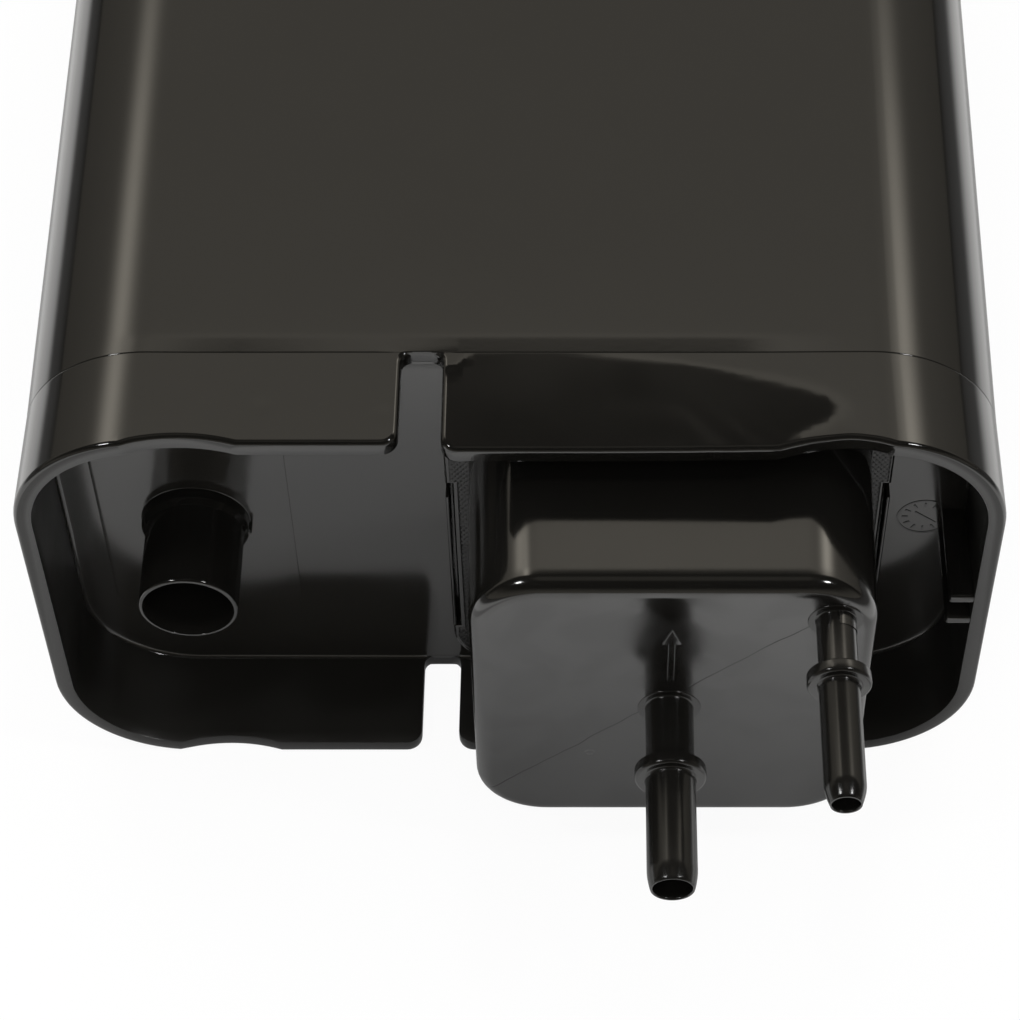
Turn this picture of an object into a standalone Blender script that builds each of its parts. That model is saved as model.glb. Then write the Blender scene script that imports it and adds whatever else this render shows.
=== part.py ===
"""Charcoal canister of a fuel vapour system, as a Blender 4.5 model in metres with +Z up.

The canister lies on its broad flat back. X runs across it, Y runs from the ports (-Y) to the
welded end cover (+Y), and the origin is under the middle of its bounding box.
"""
import math

import bmesh
import bpy
from mathutils import Matrix, Vector

MM = 0.001

# Outer form of the moulded body
WIDTH = 154.8 * MM             # across the parting line, the slimmest place
HEIGHT = 88.2 * MM             # at the parting line
CORNER_R = 21.6 * MM           # long edges of the body
DRAFT = 0.010                  # slope of the walls away from the parting line
BODY_LENGTH = 200.0 * MM       # skirt mouth to the weld face of the end cover
WALL = 2.9 * MM
SKIRT_DEPTH = 18.0 * MM        # mouth to port-end floor; the parting line runs round at this depth
FLOOR_T = 3.0 * MM
SKIRT_FILLET = 1.2 * MM        # inside, where the skirt meets the floor
RIGHT_LIP = 0.35 * MM          # the skirt right of the slots stands this much further out
TRIM_SPARE = 10.0 * MM         # how far the mouth cutter reaches past the skirt

# Slots and shallow dips in the skirt
SLOT_X = -13.4 * MM            # the slots stand in line with the dividing wall
SLOT_WIDTH = 6.8 * MM
SLOT_MOUTH_R = 2.6 * MM
SLOT_END_R = 1.8 * MM
DIP_FROM_SIDE = 27.6 * MM      # middle of a dip from the nearer side
DIP_WIDTH = 17.6 * MM
DIP_DEPTH = 1.35 * MM

# Fresh-air tube, moulded with the floor
AIR_FROM_SIDE = 24.6 * MM      # tube axis from the left side
AIR_OD = 16.2 * MM
AIR_BORE = 13.4 * MM
AIR_MOUTH_BORE = 15.2 * MM
AIR_LEAD_IN = 3.0 * MM
AIR_COLLAR_OD = 17.8 * MM
AIR_COLLAR_T = 2.2 * MM
AIR_NUB = 1.6 * MM
AIR_PAD_WIDTH = 31.8 * MM
AIR_PAD_HEIGHT = 48.4 * MM
AIR_PAD_T = 0.6 * MM
AIR_PAD_R = 3.0 * MM

# Guide ribs on the right inner face of the skirt
GUIDE_REACH = 3.8 * MM
GUIDE_T = 1.5 * MM
GUIDE_PITCH = 6.0 * MM

# Port chamber, a hollow box welded to the floor
PORT_FROM_SLOT = 1.9 * MM      # middle of the slots to the weld flange
PORT_SIDE_ROOM = 12.8 * MM     # weld flange to the right wall of the skirt
PORT_END_ROOM = 3.4 * MM       # weld flange to the upper and lower walls
PORT_R = 11.5 * MM
PORT_EDGE_R = 2.6 * MM
PORT_PROUD = 18.4 * MM         # how far its face stands out of the mouth
PORT_DRAFT = 0.02
PORT_WALL = 2.5 * MM
FLANGE_BORDER = 4.6 * MM
FLANGE_T = 3.0 * MM
FLANGE_R = 6.0 * MM
KEY_GAP = 0.9 * MM             # play between the weld flange and the locating ribs
KEY_T = 1.1 * MM
KEY_TALL = 4.0 * MM
KEY_FROM_END = 7.2 * MM        # lower end of the flange to the foot of a locating rib
KEY_ABOVE_MIDDLE = 6.3 * MM
KEY_CLEAR = 2.8 * MM           # free space above a locating rib in its notch
PORT_OPENING = 46.0 * MM       # square window in the floor behind the chamber
PORT_OPENING_R = 4.0 * MM

# Nipples for quick-connect lines, turned profiles along -Y
NIPPLE_REACH = 33.4 * MM       # face of the chamber to the tips
ROOT_FILLET = 0.9 * MM
BEAD_T = 1.7 * MM
NOSE = 3.2 * MM
PURGE_OD = 7.89 * MM
PURGE_BORE = 6.1 * MM
PURGE_TIP_OD = 7.0 * MM
PURGE_BEAD_OD = 11.3 * MM
PURGE_BEAD_AT = 13.1 * MM
TANK_FROM_SIDE = 7.8 * MM      # tank nipple from the right and upper sides of the box
TANK_FROM_TOP = 8.5 * MM
TANK_OD = 6.35 * MM
TANK_BORE = 4.2 * MM
TANK_TIP_OD = 4.9 * MM
TANK_BEAD_OD = 9.9 * MM
TANK_BEAD_AT = 11.2 * MM

# Chambers and their filling
DIVIDER_T = 2.4 * MM
STANDOFF = 6.0 * MM
STANDOFF_T = 2.0 * MM
GRID_T = 2.0 * MM
FLEECE_T = 3.0 * MM
PLATE_T = 2.6 * MM
SEAT_GAP = 0.3 * MM            # between pieces that rest on each other
FIT_GAP = 0.5 * MM             # filling pieces to the chamber walls
VENT_SLOT = 3.6 * MM           # width of the slots in grids and plates
VENT_SLOT_LONG = 18.0 * MM
VENT_RIB = 3.6 * MM            # web between two slots
VENT_MARGIN = 9.0 * MM

# Springs that press the plates on the carbon
SPRING_OD = 17.0 * MM
SPRING_WIRE = 1.5 * MM
SPRING_LENGTH = 19.0 * MM      # as fitted
SPRING_TURNS = 3.5             # between the two closed end turns
DEAD_TURN = 0.75               # closed turn at each end
SPRING_BOSS_TALL = 3.0 * MM
SPRING_EDGE = 21.0 * MM        # spring axes from the chamber walls
SPRING_PAD_T = 0.5 * MM        # raised round seats on the plates
SPRING_PAD_RIM = 1.2 * MM

# End cover
COVER_CAVITY = 9.0 * MM
COVER_SLAB = 5.6 * MM
COVER_POCKET = 3.0 * MM
COVER_RIB = 2.2 * MM
COVER_COLUMNS = 4
COVER_ROWS = 2
COVER_EDGE_R = 2.0 * MM
WELD_GAP = 0.3 * MM

# Facets
CORNER_STEPS = 8
SMALL_STEPS = 4
FILLET_STEPS = 3
POCKET_STEPS = 2
ROUND_STEPS = 28
SEAT_STEPS = 18
COIL_STEPS = 10

# Places worked out from the sizes above, measured from the mouth along Y
COVER_DEPTH = COVER_CAVITY + COVER_SLAB
COVER_FRONT = BODY_LENGTH + WELD_GAP
COVER_BACK = COVER_FRONT + COVER_DEPTH
PORT_REACH = PORT_PROUD + NIPPLE_REACH
MOUTH_Y = (PORT_REACH - COVER_BACK) / 2
MID_Z = HEIGHT / 2
DIP_X = WIDTH / 2 - DIP_FROM_SIDE
AIR_X = AIR_FROM_SIDE - WIDTH / 2
FLANGE_LEFT = SLOT_X + PORT_FROM_SLOT
FLANGE_RIGHT = WIDTH / 2 - WALL - PORT_SIDE_ROOM
FLANGE_HALF_X = (FLANGE_RIGHT - FLANGE_LEFT) / 2
FLANGE_HALF_Z = MID_Z - WALL - PORT_END_ROOM
PORT_X = (FLANGE_LEFT + FLANGE_RIGHT) / 2
PORT_HALF_X = FLANGE_HALF_X - FLANGE_BORDER
PORT_HALF_Z = FLANGE_HALF_Z - FLANGE_BORDER
TANK_X = PORT_X + PORT_HALF_X - TANK_FROM_SIDE
TANK_Z = MID_Z + PORT_HALF_Z - TANK_FROM_TOP
KEY_LOW = MID_Z - FLANGE_HALF_Z + KEY_FROM_END
KEY_HIGH = MID_Z + KEY_ABOVE_MIDDLE
FLOOR_BACK = SKIRT_DEPTH + FLOOR_T
GRID_FRONT = FLOOR_BACK + STANDOFF + SEAT_GAP
FRONT_FLEECE = GRID_FRONT + GRID_T + SEAT_GAP
BED_FRONT = FRONT_FLEECE + FLEECE_T + SEAT_GAP
SPRING_SEAT = COVER_FRONT + COVER_CAVITY - SEAT_GAP
SPRING_FRONT = SPRING_SEAT - SPRING_LENGTH
PLATE_BACK = SPRING_FRONT - SEAT_GAP - SPRING_PAD_T
PLATE_FRONT = PLATE_BACK - PLATE_T
REAR_FLEECE = PLATE_FRONT - SEAT_GAP - FLEECE_T
BED_BACK = REAR_FLEECE - SEAT_GAP
SPRING_BOSS_R = SPRING_OD / 2 - SPRING_WIRE - FIT_GAP

PARTS = "charcoal_canister"
CUTTERS = "cutters"


def clear_scene():
    for obj in list(bpy.data.objects):
        bpy.data.objects.remove(obj, do_unlink=True)


def make_collection(name):
    collection = bpy.data.collections.new(name)
    bpy.context.scene.collection.children.link(collection)
    return collection


def make_material(name, colour, roughness, metallic=0.0):
    material = bpy.data.materials.new(name)
    material.use_nodes = True
    shader = material.node_tree.nodes["Principled BSDF"]
    shader.inputs["Base Color"].default_value = (*colour, 1.0)
    shader.inputs["Roughness"].default_value = roughness
    shader.inputs["Metallic"].default_value = metallic
    return material


def part_from(name, bm, material):
    bmesh.ops.recalc_face_normals(bm, faces=bm.faces)
    mesh = bpy.data.meshes.new(name)
    bm.to_mesh(mesh)
    bm.free()
    mesh.shade_smooth()
    mesh.set_sharp_from_angle(angle=math.radians(30))
    mesh.materials.append(material)
    part = bpy.data.objects.new(name, mesh)
    bpy.data.collections[PARTS].objects.link(part)
    part.location.y = MOUTH_Y
    return part


def cutter_from(name, bm):
    bmesh.ops.recalc_face_normals(bm, faces=bm.faces)
    mesh = bpy.data.meshes.new(name)
    bm.to_mesh(mesh)
    bm.free()
    return register_cutter(bpy.data.objects.new(name, mesh), Vector((0.0, 0.0, 0.0)))


def register_cutter(tool, place):
    bpy.data.collections[CUTTERS].objects.link(tool)
    tool.location = place + Vector((0.0, MOUTH_Y, 0.0))
    tool.hide_render = True
    tool.display_type = "WIRE"
    return tool


def combine(part, tool, operation):
    boolean = part.modifiers.new(f"{operation.lower()} {tool.name}", "BOOLEAN")
    boolean.operation = operation
    boolean.solver = "EXACT"
    boolean.object = tool


def outer_section(y, inset=0.0):
    """Limits (x0, x1, z0, z1) of the body's outline at a depth, moved inwards by an inset."""
    spread = DRAFT * abs(y - SKIRT_DEPTH)
    half = WIDTH / 2 + spread - inset
    return (-half, half, inset, HEIGHT + spread - inset)


def section_block(stations):
    """Closed square-edged block through the sections given as (y, (x0, x1, z0, z1))."""
    bm = bmesh.new()
    bmesh.ops.create_cube(bm, size=2.0)
    spans = len(stations) - 1
    for index in range(1, spans):
        level = 2.0 * index / spans - 1.0
        bmesh.ops.bisect_plane(bm, geom=bm.verts[:] + bm.edges[:] + bm.faces[:],
                               plane_co=(0, level, 0), plane_no=(0, 1, 0))
    for vert in bm.verts:
        y, (x0, x1, z0, z1) = stations[round((vert.co.y + 1.0) * spans / 2.0)]
        vert.co = (x0 if vert.co.x < 0 else x1, y, z0 if vert.co.z < 0 else z1)
    return bm


def round_edges(bm, edges, radius, steps):
    bmesh.ops.bevel(bm, geom=edges, offset=radius, offset_type="OFFSET", segments=steps,
                    profile=0.5, affect="EDGES", material=-1, clamp_overlap=False)


def lengthwise(bm):
    """Edges that run along Y."""
    found = []
    for edge in bm.edges:
        run = edge.verts[1].co - edge.verts[0].co
        if abs(run.y) > 0.9 * run.length:
            found.append(edge)
    return found


def edges_at(bm, y):
    """Edges of the outline that lies at a depth."""
    near = 0.01 * MM
    return [edge for edge in bm.edges if all(abs(vert.co.y - y) < near for vert in edge.verts)]


def rounded_block(stations, radius, steps):
    bm = section_block(stations)
    round_edges(bm, lengthwise(bm), radius, steps)
    return bm


def add_box(bm, x0, x1, y0, y1, z0, z1):
    place = Matrix.Translation(((x0 + x1) / 2, (y0 + y1) / 2, (z0 + z1) / 2))
    size = Matrix.Diagonal((x1 - x0, y1 - y0, z1 - z0, 1.0))
    bmesh.ops.create_cube(bm, size=1.0, matrix=place @ size)


def add_pin(bm, x, z, y0, y1, radius, steps=ROUND_STEPS):
    turn = Matrix.Rotation(math.pi / 2, 4, "X")
    place = Matrix.Translation((x, (y0 + y1) / 2, z))
    bmesh.ops.create_cone(bm, cap_ends=True, segments=steps, radius1=radius,
                          radius2=radius, depth=y1 - y0, matrix=place @ turn)


def turned(name, profile):
    """Object turned from (radius, height) points, top to bottom; its height points along -Y."""
    mesh = bpy.data.meshes.new(name)
    mesh.from_pydata([(radius, 0.0, height) for radius, height in profile],
                     [(i, i + 1) for i in range(len(profile) - 1)], [])
    tool = bpy.data.objects.new(name, mesh)
    tool.rotation_euler.x = math.pi / 2
    screw = tool.modifiers.new("turned", "SCREW")
    screw.axis = "Z"
    screw.steps = ROUND_STEPS
    screw.render_steps = ROUND_STEPS
    screw.use_merge_vertices = True
    screw.merge_threshold = 0.01 * MM
    return tool


def arc(centre, radius, start, end, steps):
    """Points on an arc, angles in degrees."""
    points = []
    for index in range(steps + 1):
        angle = math.radians(start + (end - start) * index / steps)
        points.append((centre[0] + radius * math.cos(angle), centre[1] + radius * math.sin(angle)))
    return points


def chamber_block(side, y0, y1, clearance):
    """Block that fills one chamber between two depths; side is -1 for vent, 1 for fuel."""
    inset = WALL + clearance
    stations = [(y0, outer_section(y0, inset)), (y1, outer_section(y1, inset))]
    bm = rounded_block(stations, CORNER_R - inset, CORNER_STEPS)
    face = SLOT_X + side * (DIVIDER_T / 2 + clearance)
    bmesh.ops.bisect_plane(bm, geom=bm.verts[:] + bm.edges[:] + bm.faces[:],
                           plane_co=(face, 0, 0), plane_no=(-side, 0, 0), clear_outer=True)
    bmesh.ops.holes_fill(bm, edges=[edge for edge in bm.edges if edge.is_boundary])
    return bm


def chamber_limits(side, y, clearance):
    """Limits (x0, x1, z0, z1) of one chamber at a depth."""
    x0, x1, z0, z1 = outer_section(y, WALL + clearance)
    face = SLOT_X + side * (DIVIDER_T / 2 + clearance)
    if side > 0:
        return (face, x1, z0, z1)
    return (x0, face, z0, z1)


def spring_places(side):
    """Spring axes of one chamber: four on the wide fuel side, two on the narrow vent side."""
    x0, x1, z0, z1 = chamber_limits(side, PLATE_BACK, 0.0)
    heights = (z0 + SPRING_EDGE, z1 - SPRING_EDGE)
    if side > 0:
        return [(x, z) for x in (x0 + SPRING_EDGE, x1 - SPRING_EDGE) for z in heights]
    return [((x0 + x1) / 2, z) for z in heights]


def mouth_trim():
    """Everything in front of the skirt's rim, with the slots and dips, as one outline."""
    reach = WIDTH
    ahead = -TRIM_SPARE
    dip_r = (DIP_WIDTH ** 2 / 4 + DIP_DEPTH ** 2) / (2 * DIP_DEPTH)
    half_angle = math.degrees(math.asin(DIP_WIDTH / 2 / dip_r))
    slot_left = SLOT_X - SLOT_WIDTH / 2
    slot_right = SLOT_X + SLOT_WIDTH / 2
    right = -RIGHT_LIP
    points = [(-reach, ahead), (-reach, 0.0)]
    points += arc((-DIP_X, DIP_DEPTH - dip_r), dip_r, 90 + half_angle, 90 - half_angle, 8)
    points += arc((slot_left - SLOT_MOUTH_R, SLOT_MOUTH_R), SLOT_MOUTH_R, -90, 0, SMALL_STEPS)
    points += arc((slot_left + SLOT_END_R, SKIRT_DEPTH - SLOT_END_R), SLOT_END_R, 180, 90,
                  SMALL_STEPS)
    points += arc((slot_right - SLOT_END_R, SKIRT_DEPTH - SLOT_END_R), SLOT_END_R, 90, 0,
                  SMALL_STEPS)
    points += arc((slot_right + SLOT_MOUTH_R, right + SLOT_MOUTH_R), SLOT_MOUTH_R, 180, 270,
                  SMALL_STEPS)
    points += arc((DIP_X, right + DIP_DEPTH - dip_r), dip_r, 90 + half_angle, 90 - half_angle, 8)
    points += [(reach, right), (reach, ahead)]
    bm = bmesh.new()
    tall = HEIGHT + 2 * TRIM_SPARE
    outline = bm.faces.new([bm.verts.new((x, y, -TRIM_SPARE)) for x, y in points])
    lifted = bmesh.ops.extrude_face_region(bm, geom=[outline])
    raised = [item for item in lifted["geom"] if isinstance(item, bmesh.types.BMVert)]
    bmesh.ops.translate(bm, verts=raised, vec=(0, 0, tall))
    return bm


def body_cavities():
    """The open skirt in front of the floor and the two chambers behind it."""
    skirt = [(y, outer_section(y, WALL)) for y in (-TRIM_SPARE, SKIRT_DEPTH)]
    bm = rounded_block(skirt, CORNER_R - WALL, CORNER_STEPS)
    round_edges(bm, edges_at(bm, SKIRT_DEPTH), SKIRT_FILLET, FILLET_STEPS)
    whole = bpy.data.meshes.new("cavity join")
    for side in (-1, 1):
        chamber = chamber_block(side, FLOOR_BACK, BODY_LENGTH + TRIM_SPARE, 0.0)
        chamber.to_mesh(whole)
        chamber.free()
        bm.from_mesh(whole)
    bpy.data.meshes.remove(whole)
    return bm


def floor_features():
    """Pad round the fresh-air tube, locating ribs and guide ribs, all rooted in the body."""
    root = FLOOR_T / 2
    bm = bmesh.new()
    add_box(bm, AIR_X - AIR_PAD_WIDTH / 2, AIR_X + AIR_PAD_WIDTH / 2,
            SKIRT_DEPTH - AIR_PAD_T, SKIRT_DEPTH + root,
            MID_Z - AIR_PAD_HEIGHT / 2, MID_Z + AIR_PAD_HEIGHT / 2)
    round_edges(bm, lengthwise(bm), AIR_PAD_R, SMALL_STEPS)
    for side in (-1, 1):
        outer = PORT_X + side * FLANGE_HALF_X
        x0, x1 = sorted((outer, outer - side * KEY_T))
        add_box(bm, x0, x1, SKIRT_DEPTH - KEY_TALL, SKIRT_DEPTH + root, KEY_LOW, KEY_HIGH)
    for side in (-1, 1):
        middle = MID_Z + side * GUIDE_PITCH / 2
        inside = WIDTH / 2 - WALL
        add_box(bm, inside - GUIDE_REACH, inside + WALL / 2, 0.0, SKIRT_DEPTH + root,
                middle - GUIDE_T / 2, middle + GUIDE_T / 2)
    return bm


def standoffs():
    """Upright ribs behind the floor that carry the support grids."""
    root = FLOOR_T / 2
    bm = bmesh.new()
    for side, shares in ((-1, (0.25, 0.75)), (1, (0.2, 0.5, 0.8))):
        x0, x1, z0, z1 = chamber_limits(side, FLOOR_BACK, 0.0)
        for share in shares:
            middle = x0 + (x1 - x0) * share
            for low, high in ((z0 + VENT_MARGIN, MID_Z - VENT_MARGIN),
                              (MID_Z + VENT_MARGIN, z1 - VENT_MARGIN)):
                add_box(bm, middle - STANDOFF_T / 2, middle + STANDOFF_T / 2,
                        FLOOR_BACK - root, FLOOR_BACK + STANDOFF, low, high)
    return bm


def build_body(material):
    stations = [(y, outer_section(y)) for y in (-TRIM_SPARE / 2, SKIRT_DEPTH, BODY_LENGTH)]
    body = part_from("canister_body", rounded_block(stations, CORNER_R, CORNER_STEPS), material)
    combine(body, cutter_from("body cavities", body_cavities()), "DIFFERENCE")
    combine(body, cutter_from("mouth trim", mouth_trim()), "DIFFERENCE")
    combine(body, cutter_from("floor features", floor_features()), "UNION")

    window = bmesh.new()
    add_box(window, PORT_X - PORT_OPENING / 2, PORT_X + PORT_OPENING / 2,
            SKIRT_DEPTH - FLOOR_T, FLOOR_BACK + FLOOR_T,
            MID_Z - PORT_OPENING / 2, MID_Z + PORT_OPENING / 2)
    round_edges(window, lengthwise(window), PORT_OPENING_R, SMALL_STEPS)
    combine(body, cutter_from("floor window", window), "DIFFERENCE")
    combine(body, cutter_from("standoff ribs", standoffs()), "UNION")

    root = FLOOR_T / 2
    tube = turned("fresh air tube", [
        (0.0, SKIRT_DEPTH), (AIR_OD / 2, SKIRT_DEPTH), (AIR_OD / 2, AIR_COLLAR_T),
        (AIR_COLLAR_OD / 2, AIR_COLLAR_T), (AIR_COLLAR_OD / 2, -root), (0.0, -root)])
    register_cutter(tube, Vector((AIR_X, SKIRT_DEPTH, MID_Z)))
    combine(body, tube, "UNION")

    nub = bmesh.new()
    add_box(nub, AIR_X + AIR_OD / 2 - root, AIR_X + AIR_COLLAR_OD / 2 + AIR_NUB / 2,
            SKIRT_DEPTH - AIR_COLLAR_T - AIR_NUB, SKIRT_DEPTH + root,
            MID_Z - AIR_NUB / 2, MID_Z + AIR_NUB / 2)
    combine(body, cutter_from("collar nub", nub), "UNION")

    past = FLOOR_T + SEAT_GAP
    bore = turned("fresh air bore", [
        (0.0, SKIRT_DEPTH + SEAT_GAP), (AIR_MOUTH_BORE / 2, SKIRT_DEPTH + SEAT_GAP),
        (AIR_MOUTH_BORE / 2, SKIRT_DEPTH - SEAT_GAP),
        (AIR_BORE / 2, SKIRT_DEPTH - AIR_LEAD_IN), (AIR_BORE / 2, -past), (0.0, -past)])
    register_cutter(bore, Vector((AIR_X, SKIRT_DEPTH, MID_Z)))
    combine(body, bore, "DIFFERENCE")
    return body


def port_limits(y, inset=0.0):
    """Limits of the port chamber at a depth; it widens from its face to the floor."""
    spread = PORT_DRAFT * (y + PORT_PROUD)
    half_x = PORT_HALF_X + spread - inset
    half_z = PORT_HALF_Z + spread - inset
    return (PORT_X - half_x, PORT_X + half_x, MID_Z - half_z, MID_Z + half_z)


def nipple_profile(outer, tip, bead, bead_at):
    """Turned outline of a quick-connect nipple, from its tip down to a root inside the wall."""
    radius = outer / 2
    back = bead_at - BEAD_T / 2
    front = bead_at + BEAD_T / 2
    edge = BEAD_T / 4
    points = [(0.0, NIPPLE_REACH), (tip / 2, NIPPLE_REACH)]
    for share in (0.35, 0.7):
        swell = math.sin(share * math.pi / 2)
        points.append((tip / 2 + (radius - tip / 2) * swell, NIPPLE_REACH - NOSE * share))
    points += [(radius, NIPPLE_REACH - NOSE), (radius, front + edge), (radius + edge, front)]
    points += [(bead / 2 - edge, front), (bead / 2, front - edge), (bead / 2, back + edge)]
    points += [(bead / 2 - edge, back), (radius, back - edge), (radius, ROOT_FILLET)]
    points += [(radius + ROOT_FILLET / 3, ROOT_FILLET / 3), (radius + ROOT_FILLET, 0.0)]
    points += [(radius + ROOT_FILLET, -PORT_WALL / 2), (0.0, -PORT_WALL / 2)]
    return points


def build_port_chamber(material):
    back = SKIRT_DEPTH - SEAT_GAP
    stations = [(y, port_limits(y)) for y in (-PORT_PROUD, back)]
    bm = rounded_block(stations, PORT_R, CORNER_STEPS)
    round_edges(bm, edges_at(bm, -PORT_PROUD), PORT_EDGE_R, SMALL_STEPS)
    chamber = part_from("port_chamber", bm, material)

    limits = (FLANGE_LEFT, FLANGE_RIGHT, MID_Z - FLANGE_HALF_Z, MID_Z + FLANGE_HALF_Z)
    flange = rounded_block([(back - FLANGE_T, limits), (back, limits)], FLANGE_R, SMALL_STEPS)
    combine(chamber, cutter_from("weld flange", flange), "UNION")

    notches = bmesh.new()
    for side in (-1, 1):
        edge = PORT_X + side * FLANGE_HALF_X
        x0, x1 = sorted((edge + side * FLANGE_T, edge - side * (KEY_T + KEY_GAP)))
        add_box(notches, x0, x1, back - 2 * FLANGE_T, back + FLANGE_T,
                KEY_LOW - KEY_GAP, KEY_HIGH + KEY_CLEAR)
    combine(chamber, cutter_from("flange notches", notches), "DIFFERENCE")

    centre = Vector((PORT_X, -PORT_PROUD, MID_Z))
    purge = turned("purge nipple", nipple_profile(PURGE_OD, PURGE_TIP_OD, PURGE_BEAD_OD,
                                                  PURGE_BEAD_AT))
    tank = turned("tank nipple", nipple_profile(TANK_OD, TANK_TIP_OD, TANK_BEAD_OD,
                                                TANK_BEAD_AT))
    combine(chamber, register_cutter(purge, centre), "UNION")
    corner = Vector((TANK_X, -PORT_PROUD, TANK_Z))
    combine(chamber, register_cutter(tank, corner), "UNION")

    inside = -PORT_PROUD + PORT_WALL
    stations = [(y, port_limits(y, PORT_WALL)) for y in (inside, back + FLANGE_T)]
    cavity = rounded_block(stations, PORT_R - PORT_WALL, CORNER_STEPS)
    combine(chamber, cutter_from("port cavity", cavity), "DIFFERENCE")

    bores = bmesh.new()
    past = SEAT_GAP
    add_pin(bores, PORT_X, MID_Z, -PORT_REACH - past, inside + past, PURGE_BORE / 2)
    add_pin(bores, TANK_X, TANK_Z, -PORT_REACH - past, inside + past, TANK_BORE / 2)
    combine(chamber, cutter_from("nipple bores", bores), "DIFFERENCE")
    return chamber


def vent_slots(side, y0, y1):
    """Rows of upright slots through a grid or plate, centred on its chamber."""
    x0, x1, z0, z1 = chamber_limits(side, y0, FIT_GAP)
    pitch_x = VENT_SLOT + VENT_RIB
    pitch_z = VENT_SLOT_LONG + VENT_RIB
    across = int((x1 - x0 - 2 * VENT_MARGIN + VENT_RIB) / pitch_x)
    up = int((z1 - z0 - 2 * VENT_MARGIN + VENT_RIB) / pitch_z)
    bm = bmesh.new()
    for column in range(across):
        middle_x = (x0 + x1) / 2 + (column - (across - 1) / 2) * pitch_x
        for row in range(up):
            middle_z = (z0 + z1) / 2 + (row - (up - 1) / 2) * pitch_z
            add_box(bm, middle_x - VENT_SLOT / 2, middle_x + VENT_SLOT / 2,
                    y0 - GRID_T, y1 + GRID_T,
                    middle_z - VENT_SLOT_LONG / 2, middle_z + VENT_SLOT_LONG / 2)
    return bm


def build_grid(label, side, material):
    back = GRID_FRONT + GRID_T
    grid = part_from(f"{label}_grid", chamber_block(side, GRID_FRONT, back, FIT_GAP), material)
    slots = cutter_from(f"{label} grid slots", vent_slots(side, GRID_FRONT, back))
    combine(grid, slots, "DIFFERENCE")
    return grid


def build_plate(label, side, material):
    block = chamber_block(side, PLATE_FRONT, PLATE_BACK, FIT_GAP)
    plate = part_from(f"{label}_pressure_plate", block, material)
    slots = cutter_from(f"{label} plate slots", vent_slots(side, PLATE_FRONT, PLATE_BACK))
    combine(plate, slots, "DIFFERENCE")
    pads = bmesh.new()
    bosses = bmesh.new()
    for x, z in spring_places(side):
        add_pin(pads, x, z, PLATE_FRONT + SPRING_PAD_T, PLATE_BACK + SPRING_PAD_T,
                SPRING_OD / 2 + SPRING_PAD_RIM, SEAT_STEPS)
        add_pin(bosses, x, z, PLATE_BACK, PLATE_BACK + SPRING_PAD_T + SPRING_BOSS_TALL,
                SPRING_BOSS_R, SEAT_STEPS)
    combine(plate, cutter_from(f"{label} plate spring pads", pads), "UNION")
    combine(plate, cutter_from(f"{label} plate bosses", bosses), "UNION")
    return plate


def build_filling(label, side, materials):
    for name, front, back, material in (
            (f"{label}_front_fleece", FRONT_FLEECE, FRONT_FLEECE + FLEECE_T, "fleece"),
            (f"{label}_carbon_bed", BED_FRONT, BED_BACK, "carbon"),
            (f"{label}_rear_fleece", REAR_FLEECE, REAR_FLEECE + FLEECE_T, "fleece")):
        part_from(name, chamber_block(side, front, back, FIT_GAP), materials[material])


def spring_height(share):
    """Height along a spring for a share of its winding; the end turns lie nearly flat."""
    dead = DEAD_TURN / (SPRING_TURNS + 2 * DEAD_TURN)
    closed = SPRING_WIRE * DEAD_TURN
    run = SPRING_LENGTH - SPRING_WIRE
    if share < dead:
        return closed * share / dead
    if share > 1.0 - dead:
        return run - closed * (1.0 - share) / dead
    return closed + (run - 2 * closed) * (share - dead) / (1.0 - 2 * dead)


def build_spring(name, x, z, material):
    winding = SPRING_TURNS + 2 * DEAD_TURN
    count = round(winding * COIL_STEPS)
    radius = (SPRING_OD - SPRING_WIRE) / 2
    start = SPRING_FRONT + SPRING_WIRE / 2
    curve = bpy.data.curves.new(name, "CURVE")
    curve.dimensions = "3D"
    curve.bevel_depth = SPRING_WIRE / 2
    curve.bevel_resolution = 2
    curve.use_fill_caps = True
    wire = curve.splines.new("POLY")
    wire.points.add(count)
    for index, point in enumerate(wire.points):
        share = index / count
        angle = 2 * math.pi * winding * share
        point.co = (radius * math.cos(angle), start + spring_height(share),
                    radius * math.sin(angle), 1.0)
    curve.materials.append(material)
    spring = bpy.data.objects.new(name, curve)
    bpy.data.collections[PARTS].objects.link(spring)
    spring.location = (x, MOUTH_Y, z)
    return spring


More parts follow.
